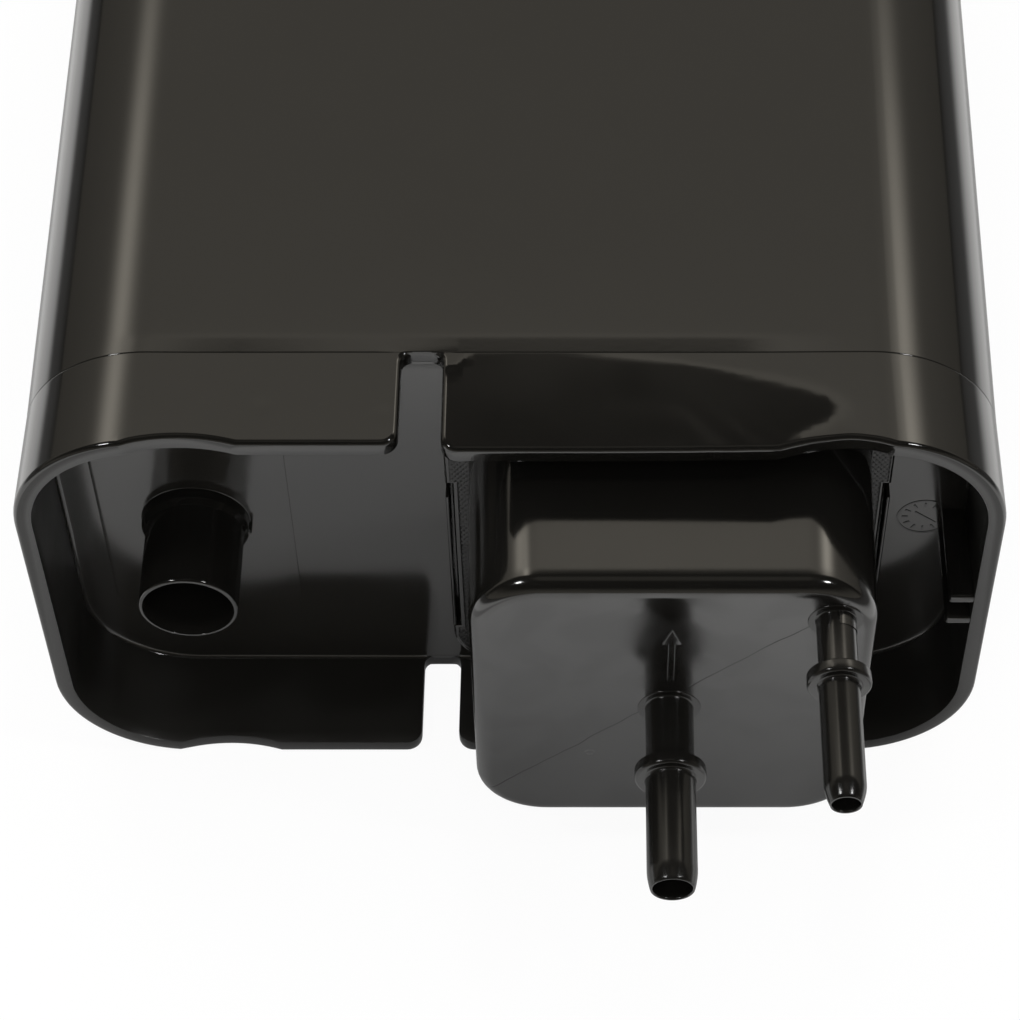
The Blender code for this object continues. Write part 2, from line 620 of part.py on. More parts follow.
def build_cover(material):
    outline = outer_section(BODY_LENGTH)
    bm = rounded_block([(COVER_FRONT, outline), (COVER_BACK, outline)], CORNER_R, CORNER_STEPS)
    round_edges(bm, edges_at(bm, COVER_BACK), COVER_EDGE_R, SMALL_STEPS)
    cover = part_from("end_cover", bm, material)

    inner = outer_section(BODY_LENGTH, WALL)
    floor = COVER_FRONT + COVER_CAVITY
    plenum = rounded_block([(COVER_FRONT - WALL, inner), (floor, inner)],
                           CORNER_R - WALL, CORNER_STEPS)
    combine(cover, cutter_from("cover plenum", plenum), "DIFFERENCE")

    bosses = bmesh.new()
    for side in (-1, 1):
        for x, z in spring_places(side):
            add_pin(bosses, x, z, floor - SPRING_BOSS_TALL, floor + COVER_SLAB / 4,
                    SPRING_BOSS_R, SEAT_STEPS)
    combine(cover, cutter_from("cover bosses", bosses), "UNION")

    x0, x1, z0, z1 = outer_section(BODY_LENGTH, 2 * WALL)
    pockets = bmesh.new()
    step_x = (x1 - x0 + COVER_RIB) / COVER_COLUMNS
    step_z = (z1 - z0 + COVER_RIB) / COVER_ROWS
    for column in range(COVER_COLUMNS):
        for row in range(COVER_ROWS):
            left = x0 + column * step_x
            low = z0 + row * step_z
            add_box(pockets, left, left + step_x - COVER_RIB, COVER_BACK - COVER_POCKET,
                    COVER_BACK + COVER_POCKET, low, low + step_z - COVER_RIB)
    round_edges(pockets, lengthwise(pockets), COVER_POCKET, POCKET_STEPS)
    field = rounded_block([(COVER_BACK - 2 * COVER_POCKET, (x0, x1, z0, z1)),
                           (COVER_BACK + 2 * COVER_POCKET, (x0, x1, z0, z1))],
                          CORNER_R - 2 * WALL, CORNER_STEPS)
    pocket_tool = cutter_from("cover pockets", pockets)
    combine(pocket_tool, cutter_from("cover pocket field", field), "INTERSECT")
    combine(cover, pocket_tool, "DIFFERENCE")
    return cover


def build():
    clear_scene()
    make_collection(PARTS)
    make_collection(CUTTERS)
    shell = make_material("glossy black polyamide", (0.022, 0.021, 0.018), 0.16)
    inner = make_material("black polypropylene", (0.025, 0.025, 0.025), 0.45)
    steel = make_material("spring steel", (0.42, 0.42, 0.43), 0.3, 1.0)
    filling = {
        "fleece": make_material("filter fleece", (0.55, 0.55, 0.52), 0.95),
        "carbon": make_material("activated carbon", (0.012, 0.012, 0.012), 0.9),
    }
    build_body(shell)
    build_port_chamber(shell)
    build_cover(shell)
    for label, side in (("fuel_side", 1), ("vent_side", -1)):
        build_grid(label, side, inner)
        build_filling(label, side, filling)
        build_plate(label, side, inner)
        for number, (x, z) in enumerate(spring_places(side), start=1):
            build_spring(f"{label}_spring_{number}", x, z, steel)


build()
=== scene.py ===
"""Charcoal canister of a fuel vapour system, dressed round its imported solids.

Metres, +Z up. The canister lies on its broad flat back with its ports towards -Y. Places along the
canister are measured from the mouth of its skirt, and each piece is moved to its place at the end.
"""
import math

import bmesh
import bpy
from mathutils import Matrix, Vector


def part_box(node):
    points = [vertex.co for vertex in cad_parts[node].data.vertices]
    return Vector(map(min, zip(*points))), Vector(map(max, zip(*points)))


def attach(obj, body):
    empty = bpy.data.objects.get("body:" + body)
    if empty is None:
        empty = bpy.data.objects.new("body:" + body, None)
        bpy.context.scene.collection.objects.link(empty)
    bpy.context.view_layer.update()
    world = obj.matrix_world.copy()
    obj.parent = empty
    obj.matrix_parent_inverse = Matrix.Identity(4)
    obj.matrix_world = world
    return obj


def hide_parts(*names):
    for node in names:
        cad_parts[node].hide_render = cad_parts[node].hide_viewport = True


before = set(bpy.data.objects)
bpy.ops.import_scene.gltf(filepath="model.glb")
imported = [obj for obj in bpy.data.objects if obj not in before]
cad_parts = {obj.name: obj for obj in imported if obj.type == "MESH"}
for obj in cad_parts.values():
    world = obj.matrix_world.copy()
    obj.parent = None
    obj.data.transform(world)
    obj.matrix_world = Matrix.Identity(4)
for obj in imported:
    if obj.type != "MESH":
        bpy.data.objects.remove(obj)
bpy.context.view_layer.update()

MM = 0.001


# The photographer's set: a long lens that looks down on the ports, white paper on a table, a lit
# panel behind the canister, strip lights beside it, two small lamps high in front of it, a soft
# cloth overhead and a fill light at the camera.
LENS = 106.73
VIEW_DOWN = 54.848
EYE = (11.63 * MM, -358.04 * MM, 450.67 * MM)
FRAME_SHIFT = (-0.0730, 0.0490)
TABLE_HALF = 4.0
TABLE_DROP = 0.05 * MM
SHEET_EDGE = (0.205, 0.325)
SHEET_X = -0.03
# The second colour is the bare table past the sheet and also the painted shade beside and in front
# of the canister, both seen only in reflections.
PAPER, BARE_TABLE_AND_PAINTED_SHADE = 0.92, 0.15
GLARE_SEEN, GLARE_MIRRORED = 0.94, 0.08
PANEL_TINT = (1.0, 0.93, 0.80)
PANEL_GLOW = (0.18, 0.31, 0.27)
PANEL_CROWN = 0.20
PANEL_SPILL = 0.02
PANEL_TOP = (math.radians(57.5), math.radians(58.1))
STRIPS = ((-36.7, 39.8, 1.9, 6.9), (-36.0, 51.5, 2.2, 4.0), (39.2, 40.8, 2.5, 6.9))
FRONT_GLOW = 0.30
CEILING_GLOW = 0.14
LAMP_AIM = (0.53, -0.22, 0.81)
LAMP_DISTANCE = 1.3
LAMP_SIZE = 0.16
LAMP_WATTS = 2.4
CLOTH_SIZE = 2.0
CLOTH_PLACE = Vector((0.0, 0.6, 1.4))
CLOTH_WATTS = 22.0
FILL_DISTANCE = 1.4
FILL_SIZE = 0.7
FILL_WATTS = 8.5


def show(name, data):
    """Puts a mesh, a lamp or a camera into the scene."""
    made = bpy.data.objects.new(name, data)
    bpy.context.scene.collection.objects.link(made)
    return made


lens = bpy.data.cameras.new("camera")
lens.lens = LENS
lens.sensor_width = 36.0
lens.shift_x, lens.shift_y = FRAME_SHIFT
lens.clip_start = 0.01
camera = show("camera", lens)
camera.location = EYE
camera.rotation_euler = (math.radians(90.0 - VIEW_DOWN), 0.0, 0.0)
bpy.context.scene.camera = camera
bpy.context.scene.view_settings.view_transform = "Standard"


def wire(tree, kind, inputs=(), **settings):
    """A new node with its settings; inputs pair a socket with a number, colour or other socket."""
    node = tree.nodes.new("ShaderNode" + kind)
    for name, value in settings.items():
        setattr(node, name, value)
    for socket, value in inputs:
        if isinstance(value, bpy.types.NodeSocket):
            tree.links.new(value, node.inputs[socket])
        else:
            node.inputs[socket].default_value = value
    return node


def maths(tree, operation, first, second=0.0, **settings):
    return wire(tree, "Math", ((0, first), (1, second)), operation=operation,
                **settings).outputs[0]


def ramp(tree, value, low, high, start=0.0, end=1.0):
    """Smooth rise of a value from start to end between two limits."""
    return wire(tree, "MapRange",
                (("Value", value), ("From Min", low), ("From Max", high), ("To Min", start),
                 ("To Max", end)), interpolation_type="SMOOTHSTEP").outputs["Result"]


def light_the_room():
    """Dim room with a lit panel behind the set, brighter strips beside it and a pale ceiling."""
    world = bpy.data.worlds.new("studio")
    world.use_nodes = True
    bpy.context.scene.world = world
    tree = world.node_tree
    tree.nodes.clear()
    aim = wire(tree, "TexCoord").outputs["Generated"]
    split = wire(tree, "SeparateXYZ", ((0, aim),))
    along, height = split.outputs[1], split.outputs[2]
    above = maths(tree, "MAXIMUM", height, 0.0)
    foot, rise, bend = PANEL_GLOW
    slope = maths(tree, "ADD", rise, maths(tree, "MULTIPLY", above, bend))
    wall = maths(tree, "ADD", foot, maths(tree, "MULTIPLY", above, slope))
    wall = maths(tree, "ADD", wall, ramp(tree, height, 0.76, 0.845, 0.0, PANEL_CROWN))
    tilt = maths(tree, "ARCTAN2", height, along)
    wall = maths(tree, "MULTIPLY", wall, ramp(tree, tilt, *PANEL_TOP, 1.0, PANEL_SPILL))
    total = maths(tree, "MULTIPLY", wall, ramp(tree, along, -0.5, 0.3, 0.35, 1.0))
    low_front = maths(tree, "MULTIPLY", ramp(tree, height, 0.05, 0.60, FRONT_GLOW, 0.0),
                      ramp(tree, along, -0.30, 0.05, 1.0, 0.0))
    total = maths(tree, "ADD", total, low_front)
    total = maths(tree, "ADD", total, ramp(tree, height, 0.955, 0.995, 0.0, CEILING_GLOW))
    for azimuth, lift, glow, spread in STRIPS:
        azimuth, lift, spread = (math.radians(angle) for angle in (azimuth, lift, spread))
        core = Vector((math.sin(azimuth) * math.cos(lift), math.cos(azimuth) * math.cos(lift),
                       math.sin(lift)))
        near = wire(tree, "VectorMath", ((0, aim), (1, core)),
                    operation="DOT_PRODUCT").outputs["Value"]
        away = maths(tree, "MULTIPLY", maths(tree, "SUBTRACT", near, 1.0), 2.0 / spread ** 2)
        total = maths(tree, "ADD", total,
                      maths(tree, "MULTIPLY", maths(tree, "EXPONENT", away), glow))
    tint = wire(tree, "Background", (("Color", (*PANEL_TINT, 1.0)), ("Strength", total)))
    white = wire(tree, "Background", (("Color", (1.0, 1.0, 1.0, 1.0)),))
    eye = wire(tree, "LightPath").outputs["Is Camera Ray"]
    mix = wire(tree, "MixShader",
               ((0, eye), (1, tint.outputs[0]), (2, white.outputs[0])))
    wire(tree, "OutputWorld", ((0, mix.outputs[0]),))


light_the_room()


def hang_lamp(name, shape, size, watts, place):
    """Lamp that faces the canister."""
    lamp = bpy.data.lights.new(name, "AREA")
    lamp.shape, lamp.size, lamp.energy = shape, size, watts
    stand = show(name, lamp)
    stand.location = place
    stand.rotation_euler = place.to_track_quat("Z", "Y").to_euler()
    return stand


for turn in (-1.0, 1.0):
    hang_lamp("side lamp", "DISK", LAMP_SIZE, LAMP_WATTS,
              Vector((LAMP_AIM[0] * turn, *LAMP_AIM[1:])).normalized() * LAMP_DISTANCE)
cloth = hang_lamp("soft overhead cloth", "SQUARE", CLOTH_SIZE, CLOTH_WATTS, CLOTH_PLACE)
fill = hang_lamp("fill at the camera", "SQUARE", FILL_SIZE, FILL_WATTS,
                 Vector(EYE).normalized() * FILL_DISTANCE)
for lamp in (cloth, fill):
    lamp.visible_glossy = False

table_top = bmesh.new()
bmesh.ops.create_grid(table_top, x_segments=1, y_segments=1, size=TABLE_HALF,
                      matrix=Matrix.Translation((0.0, 0.0, -TABLE_DROP)))
table_mesh = bpy.data.meshes.new("table")
table_top.to_mesh(table_mesh)
table_top.free()
table = show("table", table_mesh)
paper = bpy.data.materials.new("white table paper")
paper.use_nodes = True
tree = paper.node_tree
tree.nodes.clear()
path = wire(tree, "LightPath")
mirrored = maths(tree, "MAXIMUM", path.outputs["Is Glossy Ray"],
                 path.outputs["Is Transmission Ray"])
# Seen only in reflections in the plastic, the table is dark past the sheet, and painted shade lies
# in a band at each side of the canister and close in front of it.
place = wire(tree, "SeparateXYZ",
             ((0, wire(tree, "TexCoord").outputs["Object"]),))
across, along = place.outputs[0], place.outputs[1]
aside = maths(tree, "ABSOLUTE", across)
off_sheet_and_painted_shade = ramp(tree, maths(tree, "ABSOLUTE", maths(tree, "SUBTRACT", across, SHEET_X)),
                 *SHEET_EDGE)
# Painted shade in a band at each side of the canister, seen only in reflections.
painted_shade_beside = maths(tree, "ABSOLUTE", maths(tree, "SUBTRACT", aside, 0.105))
off_sheet_and_painted_shade = maths(tree, "MAXIMUM", off_sheet_and_painted_shade, ramp(tree, painted_shade_beside, 0.012, 0.034, 0.55, 0.0))
# Painted shade close in front of the canister, seen only in reflections.
painted_shade_in_front = maths(tree, "MULTIPLY", ramp(tree, along, -0.160, -0.098, 0.0, 0.42),
              ramp(tree, aside, 0.08, 0.13, 1.0, 0.0))
off_sheet_and_painted_shade = maths(tree, "MAXIMUM", off_sheet_and_painted_shade, painted_shade_in_front)
shade = wire(tree, "Mix",
             (("Factor", maths(tree, "MULTIPLY", off_sheet_and_painted_shade, mirrored)),
              ("A", (PAPER, PAPER, PAPER, 1.0)), ("B", (BARE_TABLE_AND_PAINTED_SHADE, BARE_TABLE_AND_PAINTED_SHADE, BARE_TABLE_AND_PAINTED_SHADE, 1.0))),
             data_type="RGBA").outputs["Result"]
matt = wire(tree, "BsdfDiffuse", (("Color", shade),))
glare = wire(tree, "Emission", (("Color", shade), ("Strength", 1.0 / PAPER)))
share = maths(tree, "MAXIMUM",
              maths(tree, "MULTIPLY", path.outputs["Is Camera Ray"], GLARE_SEEN),
              maths(tree, "MULTIPLY", mirrored, GLARE_MIRRORED))
sheet = wire(tree, "MixShader",
             ((0, share), (1, matt.outputs[0]), (2, glare.outputs[0])))
wire(tree, "OutputMaterial", ((0, sheet.outputs[0]),))
table_mesh.materials.append(paper)


# Body: one moulding of glossy black glass-filled polyamide, drafted away from its parting line. Its
# open skirt has shallow dips and two slots in line with the dividing wall. The top leans in beside
# the slot and sinks a little behind the parting line, as such a thin wall does when it cools.
WIDTH = 154.8 * MM
HEIGHT = 88.2 * MM
CORNER_R = 21.6 * MM
DRAFT = 0.010
BODY_LENGTH = 200.0 * MM
WALL = 2.9 * MM
SKIRT_DEPTH = 18.0 * MM
RIGHT_LIP = 0.35 * MM
SLOT_X = -13.4 * MM
SLOT_WIDTH = 6.4 * MM
SLOT_MOUTH_R = 2.6 * MM
SLOT_END_R = 1.8 * MM
DIP_X = 49.8 * MM
DIP_WIDTH = 17.6 * MM
DIP_DEPTH = 1.35 * MM
OUTER_EDGE = 0.82 * MM
INNER_EDGE = 0.22 * MM
SEAM_X = 30.0 * MM
SAG = math.tan(math.radians(4.6))
SAG_STEPS = 12
SAG_REACH = (15.0 * MM, 117.6 * MM, -98.0 * MM)
SAG_LEAST = 43.5 * MM
SINK = 0.182 * MM
GROOVE = 0.06 * MM
DENTS = (((-37.4 * MM, -74.4 * MM, 88.1 * MM), 2.4 * MM, 0.030 * MM),
         ((-40.0 * MM, -69.0 * MM, 88.1 * MM), 3.4 * MM, 0.016 * MM),
         ((-18.8 * MM, -75.9 * MM, 88.1 * MM), 2.6 * MM, 0.022 * MM))
ROWS = (2.4, 3.4, 4.7, 6.0, 7.5, 9.0, 10.5, 12.0, 13.5, 14.6, 15.2, 15.8, 16.5, 17.2, 17.82, 17.91,
        18.0, 18.09, 18.18, 18.5, 19.0, 19.7, 20.4, 20.8, 21.2, 21.6, 22.0, 24.0, 27.0, 33.0, 42.0,
        56.0, 72.0, 90.0, 108.0, 126.0, 144.0, 162.0, 180.0, 193.0, 199.0)
BLACK = ((0.0046, 0.0043, 0.0038), (0.0060, 0.0057, 0.0050))
MOUTH_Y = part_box("canister_body")[0].y + RIGHT_LIP
TOP_X = WIDTH - 2 * CORNER_R
SIDE_Z = HEIGHT - 2 * CORNER_R
QUARTER = math.pi / 2 * CORNER_R
ROUND = 2 * (TOP_X + SIDE_Z) + 4 * QUARTER


def new_material(name):
    """A material with its node tree, its shader and the place on the canister."""
    material = bpy.data.materials.new(name)
    material.use_nodes = True
    tree = material.node_tree
    place = wire(tree, "TexCoord").outputs["Object"]
    return material, tree, tree.nodes["Principled BSDF"], place


def glossy_plastic(name, roughness, index=1.60, painted_light_lift=1.0):
    """Deep black moulded polyamide: a slow warp, a fine skin and patches of duller gloss; a lift
    above 1 paints light into a lighter copy.
    """
    material, tree, shader, place = new_material(name)
    shader.inputs["IOR"].default_value = index
    slow = wire(tree, "TexNoise", (("Vector", place), ("Scale", 14.0), ("Detail", 1.0)))
    skin = wire(tree, "TexNoise", (("Vector", place), ("Scale", 1100.0), ("Detail", 2.0)))
    haze = wire(tree, "TexNoise", (("Vector", place), ("Scale", 60.0), ("Detail", 4.0)))
    warp = wire(tree, "Bump", (("Height", slow.outputs["Fac"]), ("Strength", 1.0),
                                         ("Distance", 0.00016)))
    fine = wire(tree, "Bump", (("Height", skin.outputs["Fac"]), ("Strength", 1.0),
                                         ("Distance", 0.0000012), ("Normal", warp.outputs[0])))
    dull = ramp(tree, haze.outputs["Fac"], 0.25, 0.75, roughness * 0.85, roughness * 1.15)
    # A lift above 1 brightens the base colour as painted light.
    low, high = ((*(part * painted_light_lift for part in colour), 1.0) for colour in BLACK)
    tone = wire(tree, "Mix", (("Factor", haze.outputs["Fac"]), ("A", low), ("B", high)),
                data_type="RGBA")
    tree.links.new(tone.outputs["Result"], shader.inputs["Base Color"])
    tree.links.new(dull, shader.inputs["Roughness"])
    tree.links.new(fine.outputs[0], shader.inputs["Normal"])
    return material


def piece(name, bm, material):
    """Ends the modelling of a piece: its place along the canister, its smooth and sharp edges."""
    mesh = bpy.data.meshes.new(name)
    bmesh.ops.recalc_face_normals(bm, faces=bm.faces)
    bm.edges.index_update()
    open_edges = [edge.index for edge in bm.edges if edge.is_boundary]
    bm.to_mesh(mesh)
    bm.free()
    mesh.transform(Matrix.Translation((0.0, MOUTH_Y, 0.0)))
    mesh.shade_smooth()
    mesh.set_sharp_from_angle(angle=math.radians(35))
    for index in open_edges:
        mesh.edges[index].use_edge_sharp = True
    mesh.materials.append(material)
    return show(name, mesh)


def soften(bm, edges, width, steps=3, affect="EDGES"):
    bmesh.ops.bevel(bm, geom=edges, offset=width, offset_type="OFFSET", segments=steps,
                    profile=0.5, affect=affect, material=-1, clamp_overlap=False)


def lift(bm, way):
    """Pulls flat faces out and leaves walls behind."""
    lifted = bmesh.ops.extrude_face_region(bm, geom=bm.faces[:])
    bmesh.ops.translate(bm, vec=way,
                        verts=[v for v in lifted["geom"] if isinstance(v, bmesh.types.BMVert)])
    bmesh.ops.recalc_face_normals(bm, faces=bm.faces)


def cut(bm, axis, place):
    normal = Vector((0.0, 0.0, 0.0))
    normal[axis] = 1.0
    bmesh.ops.bisect_plane(bm, geom=bm.verts[:] + bm.edges[:] + bm.faces[:],
                           plane_co=normal * place, plane_no=normal, dist=0.002 * MM)


def smooth_rise(value, low, high):
    share = min(max((value - low) / (high - low), 0.0), 1.0)
    return share * share * (3.0 - 2.0 * share)


def on_outline(way, inset, y):
    """Point of the shell: a way round the outline from the seam, an inset and a depth."""
    spread = DRAFT * abs(y - SKIRT_DEPTH)
    way = (way + SEAM_X + TOP_X / 2) % ROUND
    half = TOP_X / 2
    legs = ((TOP_X, (-half, 0.0), (1, 0), (0, -1)), (SIDE_Z, (half, 0.0), (0, 1), (1, 0)),
            (TOP_X, (half, SIDE_Z), (-1, 0), (0, 1)),
            (SIDE_Z, (-half, SIDE_Z), (0, -1), (-1, 0)))
    for length, (x, z), (run_x, run_z), (out_x, out_z) in legs:
        if way <= length:
            x, z = x + run_x * way, z + run_z * way
            break
        way -= length
        if way <= QUARTER:
            x, z = x + run_x * length, z + run_z * length
            turn = way / CORNER_R
            out_x, out_z = (out_x * math.cos(turn) + run_x * math.sin(turn),
                            out_z * math.cos(turn) + run_z * math.sin(turn))
            break
        way -= QUARTER
    x += spread * x / half
    z += spread * z / SIDE_Z
    reach = CORNER_R - inset
    return Vector((x + out_x * reach, y, z + CORNER_R + out_z * reach))


def way_at(x, top):
    """How far round the outline a place on the flat underside or on the flat top is."""
    if top:
        return TOP_X + QUARTER + SIDE_Z + QUARTER + (TOP_X / 2 - x) - (SEAM_X + TOP_X / 2)
    return (x - SEAM_X) % ROUND


def shell_outline():
    """The shell unrolled: the mouth with dips and slots, then the straight weld end."""
    sweep = (DIP_WIDTH ** 2 / 4 + DIP_DEPTH ** 2) / (2 * DIP_DEPTH)
    corners = []
    points = []

    def dip(middle):
        for index in range(-8, 9):
            off = DIP_WIDTH / 2 * index / 8
            depth = DIP_DEPTH - sweep + math.sqrt(sweep * sweep - off * off)
            points.append((middle + off, depth))

    def slot(middle):
        for off, y, radius in ((-1, 0.0, SLOT_MOUTH_R), (-1, SKIRT_DEPTH, SLOT_END_R),
                               (1, SKIRT_DEPTH, SLOT_END_R), (1, 0.0, SLOT_MOUTH_R)):
            corners.append((len(points), radius))
            points.append((middle + off * SLOT_WIDTH / 2, y))

    points.append((0.0, 0.0))
    dip(way_at(DIP_X, False))
    dip(way_at(DIP_X, True))
    slot(way_at(SLOT_X, True))
    dip(way_at(-DIP_X, True))
    dip(way_at(-DIP_X, False))
    slot(way_at(SLOT_X, False))
    points.append((ROUND, 0.0))
    points.append((ROUND, BODY_LENGTH))
    points.append((0.0, BODY_LENGTH))
    return points, corners


def sag_at(x, y):
    """Drop of the right panel of the skirt, which cooled with a kink at the parting line."""
    step = (SKIRT_DEPTH - y) / SAG_STEPS
    start, rise, bend = SAG_REACH
    drop = 0.0
    for index in range(SAG_STEPS):
        share = (index + 0.5) * step / SKIRT_DEPTH
        reach = start + rise * share + bend * share * share
        if share > 0.6:
            reach = max(reach, SAG_LEAST)
        drop += SAG * step * smooth_rise(x, reach + 3.0 * MM, reach - 1.0 * MM)
    held = smooth_rise(x - SLOT_X + 0.6 * (SKIRT_DEPTH - y), 7.8 * MM, 7.0 * MM)
    return drop * (1.0 - held * smooth_rise(SKIRT_DEPTH - y, 3.6 * MM, 3.0 * MM))


def sink_at(x, y):
    """Shallow sink behind the parting line: even at first, then fading over the last stretch."""
    away = (y - SKIRT_DEPTH) / MM
    if away < 2.8:
        share = min(1.0, (3.4 - away) / 3.4)
    else:
        share = 0.1225 * max(4.0 - away, 0.0) ** 2
    lively = 1.0 - 0.25 * smooth_rise(abs(x + 23.0 * MM), 14.0 * MM, 8.0 * MM)
    return SINK * share * lively * smooth_rise(abs(x + 6.0 * MM), 62.0 * MM, 40.0 * MM)


def model_shell():
    points, corners = shell_outline()
    bm = bmesh.new()
    verts = [bm.verts.new((way, y, 0.0)) for way, y in points]
    bm.faces.new(verts)
    for radius in (SLOT_MOUTH_R, SLOT_END_R):
        soften(bm, [verts[i] for i, r in corners if r == radius], radius, 7, "VERTICES")
    lift(bm, (0.0, 0.0, WALL))
    near = 0.01 * MM

    def rim(level):
        """Edges of the mouth and the slots on one side of the wall."""
        return [e for e in bm.edges if all(abs(v.co.z - level) < near for v in e.verts)
                and all(v.co.y < BODY_LENGTH - near for v in e.verts)
                and not all(v.co.x < near or v.co.x > ROUND - near for v in e.verts)]

    soften(bm, rim(0.0), OUTER_EDGE, 4)
    soften(bm, rim(WALL), INNER_EDGE, 2)
    outside = [f for f in bm.faces if all(abs(v.co.z) < near for v in f.verts)]
    bmesh.ops.inset_region(bm, faces=outside, thickness=0.10 * MM, use_even_offset=True)

    ways = {0.0}
    start = -(SEAM_X + TOP_X / 2)
    for leg in (TOP_X, SIDE_Z, TOP_X, SIDE_Z):
        count = round(leg / (7.0 * MM))
        ways.update(start + leg * i / count for i in range(count + 1))
        ways.update((start + 1.0 * MM, start + leg - 1.0 * MM))
        start += leg
        ways.update(start + QUARTER * i / 24 for i in range(1, 24))
        start += QUARTER
    for top in (True, False):
        for x in (-5.2, 5.2, 5.8, 6.4, 7.2, 8.2):
            ways.add(way_at(SLOT_X + x * MM, top))
    for index in range(24):
        ways.add(way_at((26.0 + 1.5 * index) * MM, True))
    for way in sorted({round(w % ROUND, 6) for w in ways}):
        if near < way < ROUND - near:
            cut(bm, 0, way)
    for y in ROWS:
        cut(bm, 1, y * MM)

    for face in bm.faces:
        face.material_index = int(face.calc_center_median().z > WALL - 0.5 * INNER_EDGE)
    seam = [f for f in bm.faces if all(v.co.x < near for v in f.verts)
            or all(v.co.x > ROUND - near for v in f.verts)]
    bmesh.ops.delete(bm, geom=seam, context="FACES_ONLY")
    slots = [way_at(SLOT_X, top) for top in (True, False)]
    for vert in bm.verts:
        way, y, inset = vert.co
        if inset < near and abs(y - SKIRT_DEPTH) < near:
            if all(abs(way - middle) > SLOT_WIDTH / 2 + 1.0 * MM for middle in slots):
                inset = GROOVE
        if y > SKIRT_DEPTH:
            squeeze = max(smooth_rise(abs(way - middle), 6.0 * MM, 4.4 * MM) for middle in slots)
            past = y - SKIRT_DEPTH
            y -= 0.7 * squeeze * smooth_rise(past, 2.4 * MM, 0.95 * MM) * past
        spot = on_outline(way, inset, y)
        right = spot.x > SLOT_X
        flat = smooth_rise(HEIGHT - spot.z, 14.0 * MM, 4.0 * MM)
        sink = sink_at(spot.x, y) * flat
        spot.z -= sink
        if y < SKIRT_DEPTH:
            spot.z -= sag_at(spot.x, y) * flat if right else -sink * (1.0 - y / SKIRT_DEPTH)
        vert.co = spot
    bmesh.ops.remove_doubles(bm, verts=bm.verts, dist=0.003 * MM)
    return bm


shell_finish = glossy_plastic("glossy black polyamide", 0.10)
polish = shell_finish.node_tree
gloss = polish.nodes["Principled BSDF"]
place = wire(polish, "TexCoord").outputs["Object"]
for spot, size, depth in DENTS:
    away = wire(polish, "VectorMath", ((0, place), (1, spot)),
                operation="DISTANCE").outputs["Value"]
    dent = wire(polish, "Bump",
                (("Height", ramp(polish, away, 0.0, size)), ("Distance", depth),
                 ("Normal", gloss.inputs["Normal"].links[0].from_socket)))
    polish.links.new(dent.outputs[0], gloss.inputs["Normal"])
along = wire(polish, "SeparateXYZ", ((0, place),)).outputs[1]
seam_y = MOUTH_Y + SKIRT_DEPTH
polish.links.new(ramp(polish, along, seam_y - 0.1 * MM, seam_y + 0.1 * MM, 0.55, 0.50),
                 gloss.inputs["Specular IOR Level"])
# Inside the shell the same plastic is duller and has its base colour painted lighter: painted light
# in the dark recess.
inside_with_painted_light = glossy_plastic("black polyamide inside the shell, painted lighter", 0.34, 1.60, 1.8)
shell = piece("body_shell", model_shell(), shell_finish)
shell.data.materials.append(inside_with_painted_light)
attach(shell, "root")
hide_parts("canister_body")


# Port-end floor: part of the same moulding, a plate across the shell with a small fillet round it,
# the square window behind the port chamber and the bore of the fresh-air tube.
FLOOR_T = 3.0 * MM
FLOOR_FILLET = 0.8 * MM
FLOOR_BURIED = 0.5 * MM
WINDOW = 46.0 * MM
WINDOW_R = 4.0 * MM
MID_Z = HEIGHT / 2
PORT_X = 25.1 * MM
AIR_X = -52.8 * MM
AIR_BORE_R = 6.7 * MM
FACING_PORTS = Matrix.Rotation(math.pi / 2, 4, "X")


def plate(x0, x1, z0, z1, y, radius, steps):
    """Flat face with round corners that faces the ports, the start of most flat pieces."""
    bm = bmesh.new()
    place = Matrix.Translation(((x0 + x1) / 2, y, (z0 + z1) / 2)) @ FACING_PORTS
    size = Matrix.Diagonal((x1 - x0, z1 - z0, 1.0, 1.0))
    bmesh.ops.create_grid(bm, x_segments=1, y_segments=1, size=0.5, matrix=place @ size)
    soften(bm, bm.verts[:], radius, steps, "VERTICES")
    return bm


def faces_at(bm, y):
    return [f for f in bm.faces if all(abs(v.co.y - y) < 0.004 * MM for v in f.verts)]


def edges_at(bm, y):
    return [e for e in bm.edges if all(abs(v.co.y - y) < 0.004 * MM for v in e.verts)]


def step_in(bm, y, width, rise):
    """Insets the face at a depth and moves it along Y; returns its new depth."""
    bmesh.ops.inset_region(bm, faces=faces_at(bm, y), thickness=width, use_even_offset=True)
    inner = [f for f in faces_at(bm, y) if len(f.verts) > 4]
    bmesh.ops.translate(bm, vec=(0.0, rise, 0.0), verts=list({v for f in inner for v in f.verts}))
    return y + rise


def ring_at(bm, x, z, y, radius, steps=64):
    place = Matrix.Translation((x, y, z)) @ FACING_PORTS
    made = bmesh.ops.create_circle(bm, segments=steps, radius=radius, matrix=place)
    return list({e for v in made["verts"] for e in v.link_edges})


def refill(bm, y, rings):
    """Opens holes in the flat face at a depth; each ring is a closed loop of edges in it."""
    face = max(faces_at(bm, y), key=lambda f: f.calc_area())
    border = list(face.edges)
    bmesh.ops.delete(bm, geom=[face], context="FACES_ONLY")
    loops = border + [e for ring in rings for e in ring]
    bmesh.ops.triangle_fill(bm, edges=loops, use_beauty=True, normal=(0.0, -1.0, 0.0))


def outline_of(bm, flat):
    """Adds the outline of a flat plate to another mesh and returns its edges."""
    copy = bpy.data.meshes.new("outline")
    flat.to_mesh(copy)
    flat.free()
    old_edges, old_faces = set(bm.edges), set(bm.faces)
    bm.from_mesh(copy)
    bpy.data.meshes.remove(copy)
    bmesh.ops.delete(bm, geom=[f for f in bm.faces if f not in old_faces], context="FACES_ONLY")
    return [e for e in bm.edges if e not in old_edges]


